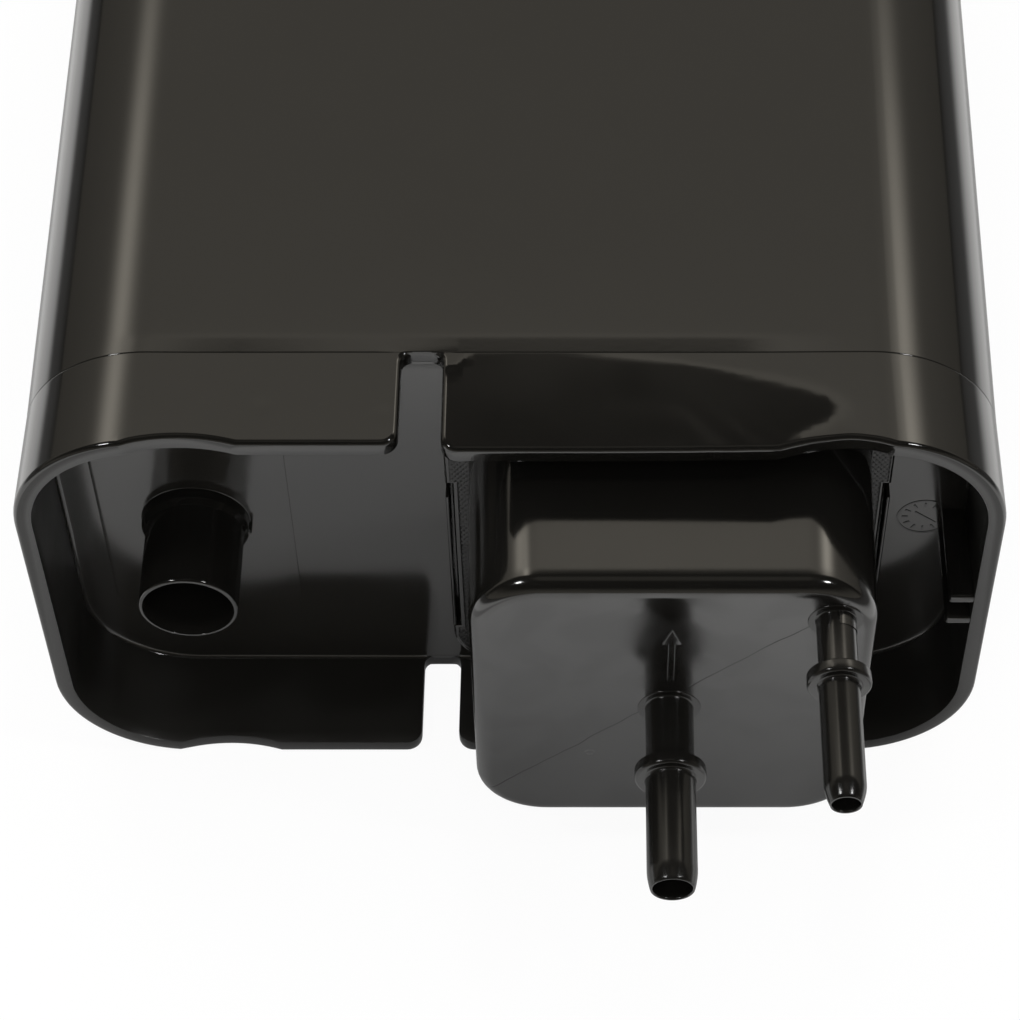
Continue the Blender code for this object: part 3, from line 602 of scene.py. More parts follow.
def model_floor():
    inset = WALL - FLOOR_BURIED
    half = WIDTH / 2 - inset
    lip = SKIRT_DEPTH - FLOOR_FILLET
    bm = plate(-half, half, inset, HEIGHT - inset, SKIRT_DEPTH + FLOOR_T, CORNER_R - inset, 24)
    lift(bm, (0.0, -FLOOR_T - FLOOR_FILLET, 0.0))
    level = step_in(bm, lip, FLOOR_BURIED, 0.0)
    for index in range(6):
        first, last = (math.pi / 2 * i / 6 for i in (index, index + 1))
        level = step_in(bm, level, FLOOR_FILLET * (math.cos(first) - math.cos(last)),
                        FLOOR_FILLET * (math.sin(last) - math.sin(first)))
    level = step_in(bm, level, 0.8 * MM, 0.0)
    window = WINDOW / 2
    holes = []
    for y in (level, SKIRT_DEPTH + FLOOR_T):
        hatch = plate(PORT_X - window, PORT_X + window, MID_Z - window, MID_Z + window, y,
                      WINDOW_R, 8)
        loops = (outline_of(bm, hatch), ring_at(bm, AIR_X, MID_Z, y, AIR_BORE_R))
        refill(bm, y, loops)
        holes.append(loops)
    for front, back in zip(*holes):
        bmesh.ops.bridge_loops(bm, edges=front + back)
    for side in (-1, 1):
        for off in (0.0, 0.5 * MM):
            cut(bm, 0, SLOT_X + side * (SLOT_WIDTH / 2 - off))
    for vert in bm.verts:
        if abs(vert.co.x - SLOT_X) < SLOT_WIDTH / 2 - 0.4 * MM and vert.co.y < SKIRT_DEPTH:
            vert.co.y = SKIRT_DEPTH - 0.03 * MM
    bmesh.ops.remove_doubles(bm, verts=bm.verts, dist=0.002 * MM)
    return bm


# The floor in the skirt's recess is the same plastic with its base colour painted lighter: painted
# light.
floor_with_painted_light = glossy_plastic("glossy black polyamide of the floor, painted lighter", 0.13, 1.78, 2.4)
port_floor = piece("port_end_floor", model_floor(), floor_with_painted_light)
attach(port_floor, "root")
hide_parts("canister_body")


# Fresh-air tube: moulded with the floor, open through it, on a thin raised pad. It has a collar
# with a small key at its foot and a lead-in at its mouth, where a rubber hose is pushed in.
AIR_OD = 16.2 * MM
AIR_MOUTH_R = 7.45 * MM
AIR_DEEP = 12.0 * MM
AIR_COLLAR_R = 8.9 * MM
AIR_COLLAR_T = 2.2 * MM
AIR_KEY = 1.1 * MM
AIR_PAD = (31.8 * MM, 48.4 * MM, 0.09 * MM, 3.0 * MM)


def curve_points(centre, radius, start, end, steps=4):
    """Points on an arc in a turned outline, with angles in degrees."""
    points = []
    for index in range(steps + 1):
        angle = math.radians(start + (end - start) * index / steps)
        points.append((centre[0] + radius * math.cos(angle), centre[1] + radius * math.sin(angle)))
    return points


def turn_outline(outline, x, z, base, steps=72):
    """Spins (radius, height) points round an axis along Y; heights run towards the ports."""
    bm = bmesh.new()
    verts = [bm.verts.new((x + radius, base - height, z)) for radius, height in outline]
    edges = [bm.edges.new(pair) for pair in zip(verts, verts[1:] + verts[:1])]
    bmesh.ops.spin(bm, geom=verts + edges, cent=(x, 0.0, z), axis=(0.0, 1.0, 0.0),
                   angle=2 * math.pi, steps=steps, use_merge=True)
    bmesh.ops.remove_doubles(bm, verts=bm.verts, dist=0.001 * MM)
    return bm


def model_air_tube():
    outer = AIR_OD / 2
    edge = 0.45 * MM
    tip = SKIRT_DEPTH
    foot = 0.15 * MM
    outline = [(AIR_BORE_R - 0.05 * MM, -FLOOR_T - 0.2 * MM),
               (AIR_BORE_R - 0.05 * MM, tip - AIR_DEEP), (AIR_MOUTH_R, tip - 0.6 * AIR_DEEP)]
    outline += curve_points((AIR_MOUTH_R + 0.08 * MM, tip - 0.08 * MM), 0.08 * MM, 180, 90, 2)
    outline += curve_points((outer - edge, tip - edge), edge, 90, 0, 3)
    outline += [(outer, AIR_COLLAR_T + 0.75 * MM), (outer + 0.1 * MM, AIR_COLLAR_T + 0.6 * MM)]
    outline += curve_points((AIR_COLLAR_R - 0.5 * MM, AIR_COLLAR_T - 0.5 * MM), 0.5 * MM, 32, 0, 3)
    outline += curve_points((AIR_COLLAR_R + foot, AIR_PAD[2] + foot), foot, 180, 270, 3)
    outline += [(AIR_COLLAR_R + foot, -1.0 * MM), (outer, -1.0 * MM), (outer, -FLOOR_T - 0.2 * MM)]
    return turn_outline(outline, AIR_X, MID_Z, SKIRT_DEPTH)


def model_air_pad():
    wide, tall, thick, radius = AIR_PAD
    low = SKIRT_DEPTH + 0.4 * MM
    bm = plate(AIR_X - wide / 2, AIR_X + wide / 2, MID_Z - tall / 2, MID_Z + tall / 2, low,
               radius, 10)
    lift(bm, (0.0, -thick - 0.4 * MM, 0.0))
    soften(bm, edges_at(bm, SKIRT_DEPTH - thick), 0.08 * MM, 3)
    step_in(bm, SKIRT_DEPTH - thick, 0.6 * MM, 0.0)
    rings = [ring_at(bm, AIR_X, MID_Z, y, AIR_OD / 2) for y in (SKIRT_DEPTH - thick, low)]
    refill(bm, SKIRT_DEPTH - thick, rings[:1])
    refill(bm, low, rings[1:])
    bmesh.ops.bridge_loops(bm, edges=rings[0] + rings[1])
    return bm


air_tube = piece("fresh_air_tube", model_air_tube(), shell_finish)
# The pad is the same plastic with its base colour painted lighter: painted light in the recess.
air_pad = piece("fresh_air_pad", model_air_pad(),
                glossy_plastic("satin black polyamide", 0.16, 1.78, 2.4))
bump = AIR_KEY / 2
key = turn_outline([(0.0, -0.5 * MM), (bump, -0.5 * MM), (bump, AIR_COLLAR_T - 0.4 * MM)]
                   + curve_points((0.0, AIR_COLLAR_T - 0.4 * MM), bump, 20, 90, 4),
                   AIR_X + AIR_COLLAR_R - 0.15 * MM, MID_Z - 0.8 * MM, SKIRT_DEPTH, steps=24)
collar_key = piece("fresh_air_tube_key", key, shell_finish)
for made in (air_tube, air_pad, collar_key):
    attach(made, "root")
    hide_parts("canister_body")


# Ribs of the same moulding: two guide ribs with round tips on the right wall of the skirt, a
# locating rib on each side of the port chamber, and behind the floor the dividing wall and the
# supports of the grids.
GUIDE_REACH = 3.8 * MM
GUIDE_T = 1.9 * MM
GUIDE_PITCH = 6.0 * MM
GUIDE_DROP = 0.8 * MM
GUIDE_START = 0.25 * MM
FLANGE = (-10.9 * MM, 61.2 * MM, 6.3 * MM, 81.9 * MM)
RIB_T = 0.6 * MM
RIB_TALL = 4.0 * MM
RIB_SPAN = (18.7 * MM, 55.8 * MM)
DIVIDER_T = 2.4 * MM
STANDOFF = 6.0 * MM
STANDOFF_T = 2.0 * MM
STANDOFF_MARGIN = 9.0 * MM


def block(bm, x0, x1, y0, y1, z0, z1, edge, steps=3):
    """Adds a box with soft edges."""
    place = Matrix.Translation(((x0 + x1) / 2, (y0 + y1) / 2, (z0 + z1) / 2))
    size = Matrix.Diagonal((x1 - x0, y1 - y0, z1 - z0, 1.0))
    made = bmesh.ops.create_cube(bm, size=1.0, matrix=place @ size)
    soften(bm, list({e for v in made["verts"] for e in v.link_edges}), edge, steps)


ribs = bmesh.new()
inner_wall = WIDTH / 2 - WALL
for side in (-1, 1):
    middle = MID_Z - GUIDE_DROP + side * GUIDE_PITCH / 2
    block(ribs, inner_wall - GUIDE_REACH, inner_wall + WALL / 2, GUIDE_START,
          SKIRT_DEPTH + 1.0 * MM, middle - GUIDE_T / 2, middle + GUIDE_T / 2, 0.55 * MM, 4)
    end = FLANGE[0] if side < 0 else FLANGE[1]
    x0, x1 = sorted((end, end - side * RIB_T))
    block(ribs, x0, x1, SKIRT_DEPTH - RIB_TALL, SKIRT_DEPTH + 1.0 * MM, *RIB_SPAN, 0.22 * MM)
locating_ribs = piece("locating_and_guide_ribs", ribs, shell_finish)

inside = bmesh.new()
behind = SKIRT_DEPTH + FLOOR_T - 0.5 * MM
block(inside, SLOT_X - DIVIDER_T / 2, SLOT_X + DIVIDER_T / 2, behind, BODY_LENGTH - 0.2 * MM,
      WALL - 0.5 * MM, HEIGHT - WALL + 0.5 * MM, 0.3 * MM)
for x0, x1, shares in ((-inner_wall, SLOT_X - DIVIDER_T / 2, (0.25, 0.75)),
                       (SLOT_X + DIVIDER_T / 2, inner_wall, (0.2, 0.5, 0.8))):
    for share in shares:
        middle = x0 + (x1 - x0) * share
        for low, high in ((WALL + STANDOFF_MARGIN, MID_Z - STANDOFF_MARGIN),
                          (MID_Z + STANDOFF_MARGIN, HEIGHT - WALL - STANDOFF_MARGIN)):
            block(inside, middle - STANDOFF_T / 2, middle + STANDOFF_T / 2, behind,
                  behind + STANDOFF + 0.5 * MM, low, high, 0.3 * MM)
chamber_ribs = piece("divider_and_grid_supports", inside, shell_finish)
for made in (locating_ribs, chamber_ribs):
    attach(made, "root")
    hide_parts("canister_body")


# Filling of the two chambers, behind the floor: slotted polypropylene grids, needled fleeces, beds
# of carbon pellets, and slotted pressure plates that steel springs press on them. All of them keep
# the meshes of their solids.
def cad_finish(material, *nodes):
    for name in nodes:
        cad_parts[name].data.materials.clear()
        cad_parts[name].data.materials.append(material)


def filling_material(name, light, dark, scale, depth, roughness, pattern="TexNoise"):
    """Rough filling with a grain of its own size in colour and relief."""
    material, tree, shader, place = new_material(name)
    shader.inputs["Roughness"].default_value = roughness
    grain = wire(tree, pattern, (("Vector", place), ("Scale", scale)))
    amount = grain.outputs["Distance"] if "Distance" in grain.outputs else grain.outputs["Fac"]
    tone = wire(tree, "Mix",
                (("Factor", amount), ("A", (*dark, 1.0)), ("B", (*light, 1.0))), data_type="RGBA")
    relief = wire(tree, "Bump", (("Height", amount), ("Distance", depth)))
    tree.links.new(tone.outputs["Result"], shader.inputs["Base Color"])
    tree.links.new(relief.outputs[0], shader.inputs["Normal"])
    return material


def spring_material():
    """Drawn steel wire: fine lines round the coil and a slight bluing."""
    material, tree, shader, place = new_material("drawn spring steel")
    shader.inputs["Metallic"].default_value = 1.0
    drawn = wire(tree, "TexNoise", (("Vector", place), ("Scale", 700.0), ("Detail", 3.0)))
    tone = wire(tree, "Mix",
                (("Factor", drawn.outputs["Fac"]), ("A", (0.30, 0.31, 0.34, 1.0)),
                 ("B", (0.48, 0.48, 0.49, 1.0))), data_type="RGBA")
    tree.links.new(tone.outputs["Result"], shader.inputs["Base Color"])
    tree.links.new(ramp(tree, drawn.outputs["Fac"], 0.2, 0.8, 0.22, 0.38),
                   shader.inputs["Roughness"])
    return material


sides = ("fuel_side", "vent_side")
cad_finish(filling_material("satin polypropylene", (0.032, 0.032, 0.032), (0.022, 0.022, 0.022),
                            900.0, 0.02 * MM, 0.42),
           *[f"{side}_{part}" for side in sides for part in ("grid", "pressure_plate")])
cad_finish(filling_material("needled fleece", (0.60, 0.60, 0.56), (0.40, 0.40, 0.37),
                            1500.0, 0.3 * MM, 0.95),
           *[f"{side}_{end}_fleece" for side in sides for end in ("front", "rear")])
cad_finish(filling_material("carbon pellets", (0.020, 0.020, 0.020), (0.006, 0.006, 0.006),
                            480.0, 0.8 * MM, 0.85, "TexVoronoi"),
           *[f"{side}_carbon_bed" for side in sides])
cad_finish(spring_material(), *[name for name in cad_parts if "_spring_" in name])


# Port chamber: a hollow box of the same polyamide, hot-plate welded to the floor by a flange with a
# knurled face, which is notched on both sides for the locating ribs. Its face has the knit line
# where two streams of plastic met, and the mark of an ejector.
PORT_MID = 25.25 * MM
PORT_HALF = (31.4 * MM, 33.2 * MM)
PORT_R = 11.5 * MM
PORT_EDGE_R = 2.8 * MM
PORT_PROUD = 18.9 * MM
PORT_DRAFT = (0.02, 0.003)
PORT_WALL = 2.5 * MM
FLANGE_T = 3.0 * MM
FLANGE_R = 9.0 * MM
FLANGE_EDGE = 0.45 * MM
KNURL_PITCH = (0.235 * MM, 0.31 * MM)
KNURL_TALL = 0.24 * MM
NOTCH = 1.1 * MM
NOTCH_SPAN = (17.6 * MM, 58.4 * MM)
PORT_BACK = SKIRT_DEPTH - 0.3 * MM
PURGE = {"x": PORT_X, "z": MID_Z, "od": 7.89 * MM, "bore": 6.1 * MM, "tip": 7.0 * MM,
         "bead": 11.3 * MM, "at": 12.4 * MM, "reach": 32.9 * MM}
TANK = {"x": 49.9 * MM, "z": 68.8 * MM, "od": 6.35 * MM, "bore": 4.2 * MM, "tip": 4.9 * MM,
        "bead": 9.9 * MM, "at": 11.0 * MM, "reach": 32.5 * MM}
PORT_FACE_Y = MOUTH_Y - PORT_PROUD
KNIT_NORMAL = (-0.6935, 0.0, 0.7204)
KNIT_OFF = 17.55 * MM
KNIT_HALF = 0.24 * MM
KNIT_WANDER = 1.6 * MM
EJECTOR = (12.5 * MM, PORT_FACE_Y, 30.4 * MM)
EJECTOR_R = 0.65 * MM
FACE_RELIEF = 0.03 * MM


def port_plate(inset, y):
    """The drafted box cut at a depth, as a flat plate."""
    half_x, half_z = (half + draft * (y + PORT_PROUD) - inset
                      for half, draft in zip(PORT_HALF, PORT_DRAFT))
    return plate(PORT_MID - half_x, PORT_MID + half_x, MID_Z - half_z, MID_Z + half_z, y,
                 PORT_R - inset, 20)


def model_port_box():
    bm = port_plate(0.0, PORT_BACK)
    lift(bm, (0.0, -PORT_BACK - PORT_PROUD, 0.0))
    front = list({v for f in faces_at(bm, -PORT_PROUD) for v in f.verts})
    run_x, run_z = (draft * (PORT_BACK + PORT_PROUD) for draft in PORT_DRAFT)
    for vert in front:
        off_x, off_z = vert.co.x - PORT_MID, vert.co.z - MID_Z
        if abs(off_x) > PORT_HALF[0] + run_x - PORT_R - 0.01 * MM:
            vert.co.x -= math.copysign(run_x, off_x)
        if abs(off_z) > PORT_HALF[1] + run_z - PORT_R - 0.01 * MM:
            vert.co.z -= math.copysign(run_z, off_z)
    bmesh.ops.delete(bm, geom=faces_at(bm, PORT_BACK), context="FACES_ONLY")
    soften(bm, edges_at(bm, -PORT_PROUD), PORT_EDGE_R, 10)
    step_in(bm, -PORT_PROUD, 0.8 * MM, 0.0)
    rings = [ring_at(bm, n["x"], n["z"], -PORT_PROUD, n["od"] / 2) for n in (PURGE, TANK)]
    refill(bm, -PORT_PROUD, rings)
    for y in (-14.6, -13.8, -5.0, 6.0, 16.0):
        cut(bm, 1, y * MM)
    return bm


def wall_inwards(made, thickness):
    """Gives an open shell its wall, inside its outer faces."""
    solidify = made.modifiers.new("wall", "SOLIDIFY")
    solidify.thickness = thickness
    solidify.offset = -1.0
    solidify.use_even_offset = True


def model_flange():
    x0, x1, z0, z1 = FLANGE
    low, high = NOTCH_SPAN
    front = PORT_BACK - FLANGE_T
    points = [(x0, z0), (x1, z0), (x1, low), (x1 - NOTCH, low), (x1 - NOTCH, high), (x1, high),
              (x1, z1), (x0, z1), (x0, high), (x0 + NOTCH, high), (x0 + NOTCH, low), (x0, low)]
    bm = bmesh.new()
    verts = [bm.verts.new((x, PORT_BACK, z)) for x, z in points]
    bm.faces.new(verts)
    soften(bm, [verts[i] for i in (0, 1, 6, 7)], FLANGE_R, 8, "VERTICES")
    lift(bm, (0.0, -FLANGE_T, 0.0))
    soften(bm, edges_at(bm, front), FLANGE_EDGE, 4)
    rings = []
    for y in (PORT_BACK, front):
        rings.append(outline_of(bm, port_plate(PORT_WALL / 2, y)))
        refill(bm, y, rings[-1:])
    bmesh.ops.bridge_loops(bm, edges=rings[0] + rings[1])
    return bm


def model_knurl():
    """Raised skin on the flange with staggered rows of small pits."""
    x0, x1, z0, z1 = FLANGE
    half_x, half_z = (x1 - x0) / 2, (z1 - z0) / 2
    count_x, count_z = round((x1 - x0) / KNURL_PITCH[0]), round((z1 - z0) / KNURL_PITCH[1])
    front = PORT_BACK - FLANGE_T
    place = Matrix.Translation(((x0 + x1) / 2, front - KNURL_TALL, (z0 + z1) / 2)) @ FACING_PORTS
    bm = bmesh.new()
    size = Matrix.Diagonal((x1 - x0, z1 - z0, 1.0, 1.0))
    bmesh.ops.create_grid(bm, x_segments=count_x, y_segments=count_z, size=0.5,
                          matrix=place @ size)
    box_x, box_z = (half + draft * (front + PORT_PROUD) - 0.3 * MM
                    for half, draft in zip(PORT_HALF, PORT_DRAFT))
    drop = []
    for vert in bm.verts:
        off_x, off_z = abs(vert.co.x - PORT_MID), abs(vert.co.z - MID_Z)
        past_x, past_z = off_x - (half_x - FLANGE_R), off_z - (half_z - FLANGE_R)
        in_box = off_x < box_x and off_z < box_z
        outside = (off_x > half_x - FLANGE_EDGE or off_z > half_z - FLANGE_EDGE
                   or (past_x > 0 and past_z > 0
                       and math.hypot(past_x, past_z) > FLANGE_R - FLANGE_EDGE))
        notched = (NOTCH_SPAN[0] - FLANGE_EDGE < vert.co.z < NOTCH_SPAN[1] + FLANGE_EDGE
                   and off_x > half_x - NOTCH - FLANGE_EDGE)
        if in_box or outside or notched:
            drop.append(vert)
    bmesh.ops.delete(bm, geom=drop, context="VERTS")
    for vert in bm.verts:
        column = round((vert.co.x - x0) / KNURL_PITCH[0])
        row = round((vert.co.z - z0) / KNURL_PITCH[1])
        if vert.is_boundary:
            vert.co.y = front + 0.05 * MM
        elif row % 2 == 0 and (column + row) % 4 == 0:
            vert.co.y += KNURL_TALL * 0.9
    return bm


def port_plastic():
    """The same plastic with a duller front face, its knit line and the mark of the ejector."""
    material = glossy_plastic("glossy black polyamide of the port chamber", 0.11, 1.72)
    tree = material.node_tree
    shader = tree.nodes["Principled BSDF"]
    place = wire(tree, "TexCoord").outputs["Object"]
    split = wire(tree, "SeparateXYZ", ((0, place),))
    front = ramp(tree, split.outputs[1], PORT_FACE_Y + 0.1 * MM, PORT_FACE_Y + 0.5 * MM, 1.0, 0.0)
    stain = wire(tree, "TexNoise",
                 (("Vector", place), ("Scale", 90.0), ("Detail", 2.5), ("Distortion", 0.8)))
    duller = ramp(tree, stain.outputs["Fac"], 0.40, 0.68, 0.03, 0.13)
    rough = maths(tree, "ADD", shader.inputs["Roughness"].links[0].from_socket,
                  maths(tree, "MULTIPLY", front, duller))
    tree.links.new(rough, shader.inputs["Roughness"])
    wander = wire(tree, "TexNoise",
                  (("Vector", place), ("Scale", 110.0), ("Detail", 2.0))).outputs["Fac"]
    off = wire(tree, "VectorMath", ((0, place), (1, KNIT_NORMAL)),
               operation="DOT_PRODUCT").outputs["Value"]
    off = maths(tree, "SUBTRACT", off, KNIT_OFF)
    off = maths(tree, "ADD", off, maths(tree, "MULTIPLY", wander, KNIT_WANDER))
    knit = ramp(tree, maths(tree, "ABSOLUTE", off), 0.0, KNIT_HALF, 1.0, 0.0)
    knit = maths(tree, "MULTIPLY", knit, ramp(tree, stain.outputs["Fac"], 0.35, 0.60, 1.0, 0.55))
    mark = wire(tree, "VectorMath", ((0, place), (1, EJECTOR)),
                operation="DISTANCE").outputs["Value"]
    ring = maths(tree, "ABSOLUTE", maths(tree, "SUBTRACT", mark, EJECTOR_R))
    dent = maths(tree, "MAXIMUM", knit, ramp(tree, ring, 0.05 * MM, 0.35 * MM, 2.6, 0.0))
    relief = wire(tree, "Bump",
                  (("Height", maths(tree, "MULTIPLY", dent, front)), ("Distance", FACE_RELIEF),
                   ("Normal", shader.inputs["Normal"].links[0].from_socket)), invert=True)
    tree.links.new(relief.outputs[0], shader.inputs["Normal"])
    # Painted sheen: the front face's reflection is made stronger towards +X and weaker towards -X.
    across = ramp(tree, split.outputs[0], -5.0 * MM, 45.0 * MM, -0.035, 0.05)
    blotch = ramp(tree, stain.outputs["Fac"], 0.42, 0.62, 0.0, 0.045)
    change = maths(tree, "SUBTRACT", maths(tree, "SUBTRACT", across, blotch),
                   maths(tree, "MULTIPLY", knit, 0.42))
    tree.links.new(maths(tree, "ADD", 0.5, maths(tree, "MULTIPLY", change, front)),
                   shader.inputs["Specular IOR Level"])
    return material


port_finish = port_plastic()
port_box = piece("port_box", model_port_box(), port_finish)
wall_inwards(port_box, PORT_WALL)
flange = piece("weld_flange", model_flange(), port_finish)
knurl = piece("weld_flange_knurl", model_knurl(),
              glossy_plastic("knurled black polyamide", 0.30, 1.50))
for made in (port_box, flange, knurl):
    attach(made, "root")
    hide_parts("port_chamber")


# Flow arrow: raised on the face of the port chamber above the large nipple, part of the moulding.
ARROW_FOOT = 52.5 * MM
ARROW_TIP = 66.5 * MM
ARROW_HEAD = 4.0 * MM
ARROW_HALF = 0.55 * MM
ARROW_BARB = 1.5 * MM
ARROW_RAISE = 0.25 * MM


def flat_shape(points, low, high, edge):
    """Extruded outline that stands up from a face, with soft front edges."""
    bm = bmesh.new()
    bm.faces.new([bm.verts.new((x, low, z)) for x, z in points])
    lift(bm, (0.0, high - low, 0.0))
    soften(bm, edges_at(bm, high), edge, 2)
    return bm


neck_z = ARROW_TIP - ARROW_HEAD
right = [(ARROW_HALF, ARROW_FOOT), (ARROW_HALF, neck_z), (ARROW_BARB, neck_z)]
left = [(-x, z) for x, z in reversed(right)]
arrow = piece("flow_arrow",
              flat_shape([(PORT_X + x, z) for x, z in (*right, (0.0, ARROW_TIP), *left)],
                         0.2 * MM - PORT_PROUD, -PORT_PROUD - ARROW_RAISE, 0.1 * MM), port_finish)
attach(arrow, "root")
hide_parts("port_chamber")


# Moulding dial: a thin raised ring with plain ticks and a pointer on the floor beside the chamber,
# as an insert in the mould leaves it.
DIAL = (67.9 * MM, 45.0 * MM)
DIAL_R = 4.4 * MM
DIAL_RAISE = 0.09 * MM
DIAL_LINE = 0.16 * MM

dial_x, dial_z = DIAL
low, high = DIAL_R - DIAL_LINE, DIAL_R + DIAL_LINE
dial = turn_outline([(low, -0.2 * MM), (low, DIAL_RAISE * 0.8), (DIAL_R, DIAL_RAISE),
                     (high, DIAL_RAISE * 0.8), (high, -0.2 * MM)], dial_x, dial_z, SKIRT_DEPTH)
for index in range(13):
    pointer = index == 12
    reach, start = (4.6 * MM, -2.0 * MM) if pointer else (1.0 * MM, DIAL_R - 1.7 * MM)
    turn = math.radians(30.0 * index + (40.0 if pointer else 0.0))
    place = (Matrix.Translation((dial_x, SKIRT_DEPTH, dial_z)) @ Matrix.Rotation(turn, 4, "Y")
             @ Matrix.Translation((start + reach / 2, 0.0, 0.0)))
    size = Matrix.Diagonal((reach, 2 * DIAL_RAISE, 2 * DIAL_LINE, 1.0))
    bmesh.ops.create_cube(dial, size=1.0, matrix=place @ size)
dial_piece = piece("moulding_dial", dial, shell_finish)
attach(dial_piece, "root")
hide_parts("canister_body")


# Nipples: the purge nipple in the middle of the box and the tank nipple in its corner, moulded with
# it. Each is a quick-connect end with a flat ring at its root, a bead that the coupling latches
# behind, and a round nose.
ROOT_FILLET = 0.3 * MM
ROOT_PAD = 1.2 * MM
ROOT_RAISE = 0.14 * MM
NECK_STEP = 0.12 * MM
BEAD_T = 2.2 * MM
BEAD_ROUND = (0.65 * MM, 0.28 * MM)
BEAD_FILLET = 0.60 * MM
NOSE = 3.2 * MM


def nipple_outline(size):
    outer, bore, tip = size["od"] / 2, size["bore"] / 2, size["tip"] / 2
    reach = size["reach"]
    bead = size["bead"] / 2
    back, front = size["at"] - BEAD_T / 2, size["at"] + BEAD_T / 2
    neck = outer - NECK_STEP
    ahead, behind = BEAD_ROUND
    points = [(bore, -PORT_WALL - 0.3 * MM), (bore, reach - 0.5 * MM)]
    points += curve_points((bore + 0.3 * MM, reach - 0.3 * MM), 0.3 * MM, 180, 90, 3)
    points += curve_points((tip - 0.25 * MM, reach - 0.25 * MM), 0.25 * MM, 90, 35, 2)
    for share in (0.12, 0.25, 0.4, 0.55, 0.7, 0.85, 1.0):
        swell = math.sin(share * math.pi / 2)
        points.append((tip + (outer - tip) * swell, reach - 0.15 * MM - NOSE * share))
    points += curve_points((outer + BEAD_FILLET, front + 0.45 * MM), BEAD_FILLET, 180, 255, 5)
    points += curve_points((bead - ahead, front - ahead), ahead, 75, 0, 6)
    points += curve_points((bead - behind, back + behind), behind, 0, -50, 3)
    points += [(neck + 0.5 * MM, back - 0.15 * MM), (neck, back - 0.55 * MM)]
    points += curve_points((neck + ROOT_FILLET, ROOT_RAISE + ROOT_FILLET), ROOT_FILLET,
                           180, 270, 6)
    points += curve_points((neck + ROOT_PAD - ROOT_RAISE, 0.0), ROOT_RAISE, 90, 0, 4)
    points += [(neck + ROOT_PAD, -0.8 * MM), (bore + 0.5 * MM, -PORT_WALL - 0.3 * MM)]
    return points


nipple_finish = glossy_plastic("satin black polyamide of the nipples", 0.20, 1.55)
for label, size in (("purge_nipple", PURGE), ("tank_nipple", TANK)):
    turned = turn_outline(nipple_outline(size), size["x"], size["z"], -PORT_PROUD)
    made = piece(label, turned, nipple_finish)
    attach(made, "root")
    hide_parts("port_chamber")


# End cover: a ribbed polyamide cap that is vibration-welded to the body once the springs are in.
# Two rows of pockets lighten its back, bosses inside it hold the springs, and a thin bead of
# squeezed-out plastic runs round the weld.
COVER_CAVITY = 9.0 * MM
COVER_SLAB = 5.6 * MM
COVER_POCKET = 3.0 * MM
POCKET_R = (2.4 * MM, 0.8 * MM)
COVER_RIB = 2.2 * MM
COVER_EDGE_R = 2.0 * MM
WELD_GAP = 0.3 * MM
WELD_SINK = 0.25 * MM
BOSS_R = 6.5 * MM
BOSS_TALL = 3.0 * MM
SPRING_EDGE = 21.0 * MM


def cover_plate(inset, y, radius):
    half = WIDTH / 2 + DRAFT * (BODY_LENGTH - SKIRT_DEPTH) - inset
    top = HEIGHT + DRAFT * (BODY_LENGTH - SKIRT_DEPTH) - inset
    return plate(-half, half, inset, top, y, radius, 24)


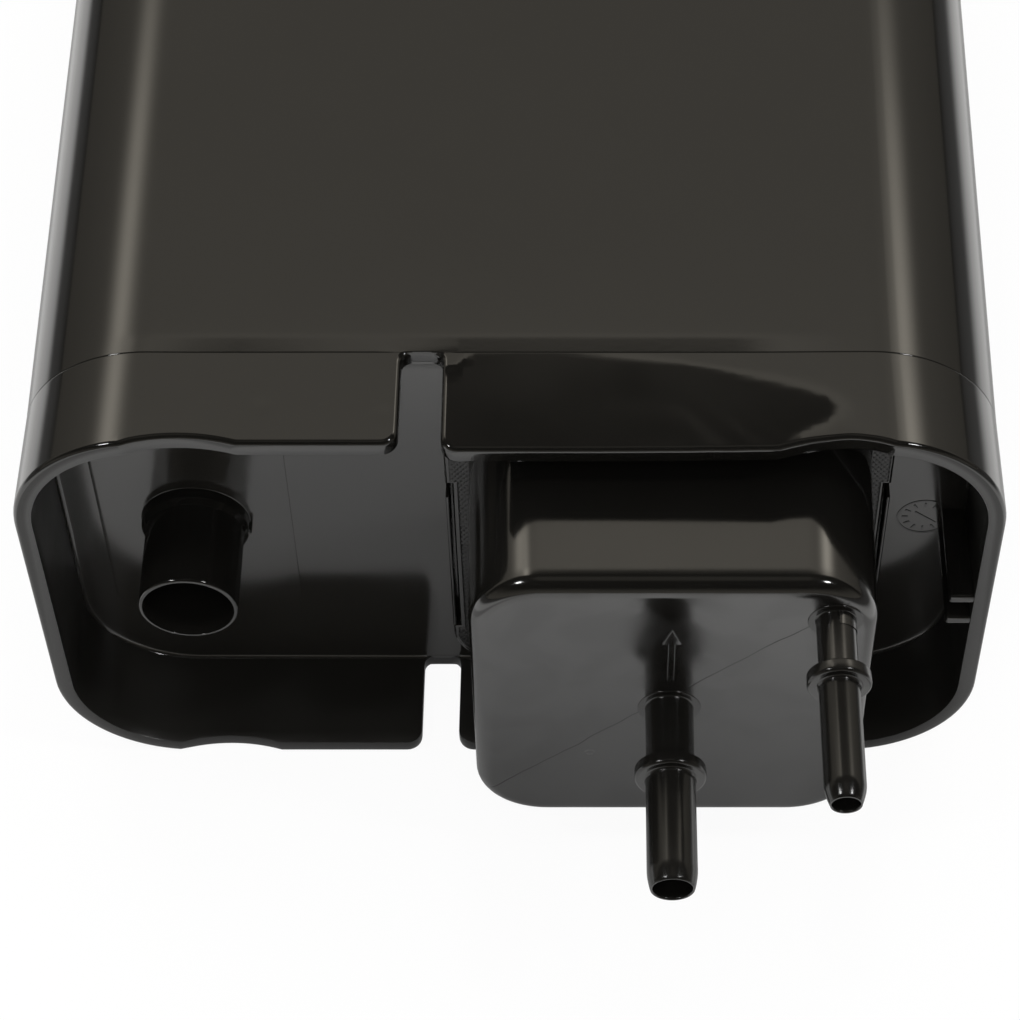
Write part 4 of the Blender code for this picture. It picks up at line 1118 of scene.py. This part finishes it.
def model_cover():
    front = BODY_LENGTH + WELD_GAP
    back = front + COVER_CAVITY + COVER_SLAB
    bm = cover_plate(0.0, front, CORNER_R)
    lift(bm, (0.0, back - front, 0.0))
    soften(bm, edges_at(bm, back), COVER_EDGE_R, 6)
    level = step_in(bm, back, 2 * WALL - COVER_EDGE_R, 0.0)
    face = max(faces_at(bm, level), key=lambda f: f.calc_area())
    xs = [v.co.x for v in face.verts]
    zs = [v.co.z for v in face.verts]
    step_x = (max(xs) - min(xs) + COVER_RIB) / 4
    step_z = (max(zs) - min(zs) + COVER_RIB) / 2
    cuts = [(0, min(xs) + step_x * i - off) for i in (1, 2, 3) for off in (0.0, COVER_RIB)]
    cuts += [(2, min(zs) + step_z - off) for off in (0.0, COVER_RIB)]
    field = [face]
    for axis, place in cuts:
        normal = Vector((0.0, 0.0, 0.0))
        normal[axis] = 1.0
        parts = {v for f in field for v in f.verts} | {e for f in field for e in f.edges}
        made = bmesh.ops.bisect_plane(bm, geom=list(parts) + field, plane_co=normal * place,
                                      plane_no=normal)
        field = [g for g in made["geom"] if isinstance(g, bmesh.types.BMFace)]
    middle = (cuts[6][1] + cuts[7][1]) / 2
    cells = [f for f in field if abs(f.calc_center_median().z - middle) > COVER_RIB
             and min(abs(f.calc_center_median().x - place) for _, place in cuts[:6]) > COVER_RIB]
    bmesh.ops.inset_individual(bm, faces=cells, thickness=0.02 * MM, use_even_offset=True)
    sunk = bmesh.ops.extrude_discrete_faces(bm, faces=cells)["faces"]
    bmesh.ops.translate(bm, vec=(0.0, -COVER_POCKET, 0.0),
                        verts=list({v for f in sunk for v in f.verts}))
    uprights = [e for e in bm.edges if abs(abs(e.verts[0].co.y - e.verts[1].co.y) - COVER_POCKET)
                < 0.01 * MM and e.calc_face_angle(0.0) > 0.7]
    soften(bm, uprights, POCKET_R[0], 5)
    bottoms = [e for e in edges_at(bm, back - COVER_POCKET) if e.calc_face_angle(0.0) > 0.7]
    soften(bm, bottoms, POCKET_R[1], 3)

    mouth = outline_of(bm, cover_plate(WALL, front, CORNER_R - WALL))
    refill(bm, front, (mouth,))
    lifted = bmesh.ops.extrude_edge_only(bm, edges=mouth)
    bmesh.ops.translate(bm, vec=(0.0, COVER_CAVITY, 0.0),
                        verts=[v for v in lifted["geom"] if isinstance(v, bmesh.types.BMVert)])
    bmesh.ops.holes_fill(bm, edges=[e for e in edges_at(bm, front + COVER_CAVITY)
                                    if e.is_boundary])
    return bm


cover_finish = glossy_plastic("glossy black polyamide of the end cover", 0.13)
cover = piece("welded_end_cover", model_cover(), cover_finish)
bosses = bmesh.new()
cover_floor = BODY_LENGTH + WELD_GAP + COVER_CAVITY
left_x0, left_x1 = -inner_wall, SLOT_X - DIVIDER_T / 2
right_x0, right_x1 = SLOT_X + DIVIDER_T / 2, inner_wall
for x in ((left_x0 + left_x1) / 2, right_x0 + SPRING_EDGE, right_x1 - SPRING_EDGE):
    for z in (WALL + SPRING_EDGE, HEIGHT - WALL - SPRING_EDGE):
        place = Matrix.Translation((x, cover_floor - BOSS_TALL / 2 + 0.25 * MM, z)) @ FACING_PORTS
        made = bmesh.ops.create_cone(bosses, cap_ends=True, segments=32, radius1=BOSS_R,
                                     radius2=BOSS_R, depth=BOSS_TALL + 0.5 * MM, matrix=place)
        ends = {e for v in made["verts"] for e in v.link_edges}
        tops = ends & set(edges_at(bosses, cover_floor - BOSS_TALL))
        soften(bosses, list(tops), 0.4 * MM, 3)
cover_bosses = piece("end_cover_bosses", bosses, cover_finish)
bead_outline = cover_plate(WELD_SINK, BODY_LENGTH - 0.1 * MM, CORNER_R - WELD_SINK)
lift(bead_outline, (0.0, WELD_GAP + 0.2 * MM, 0.0))
weld_bead = piece("weld_bead", bead_outline, cover_finish)
for made in (cover, cover_bosses, weld_bead):
    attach(made, "root")
    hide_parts("end_cover")
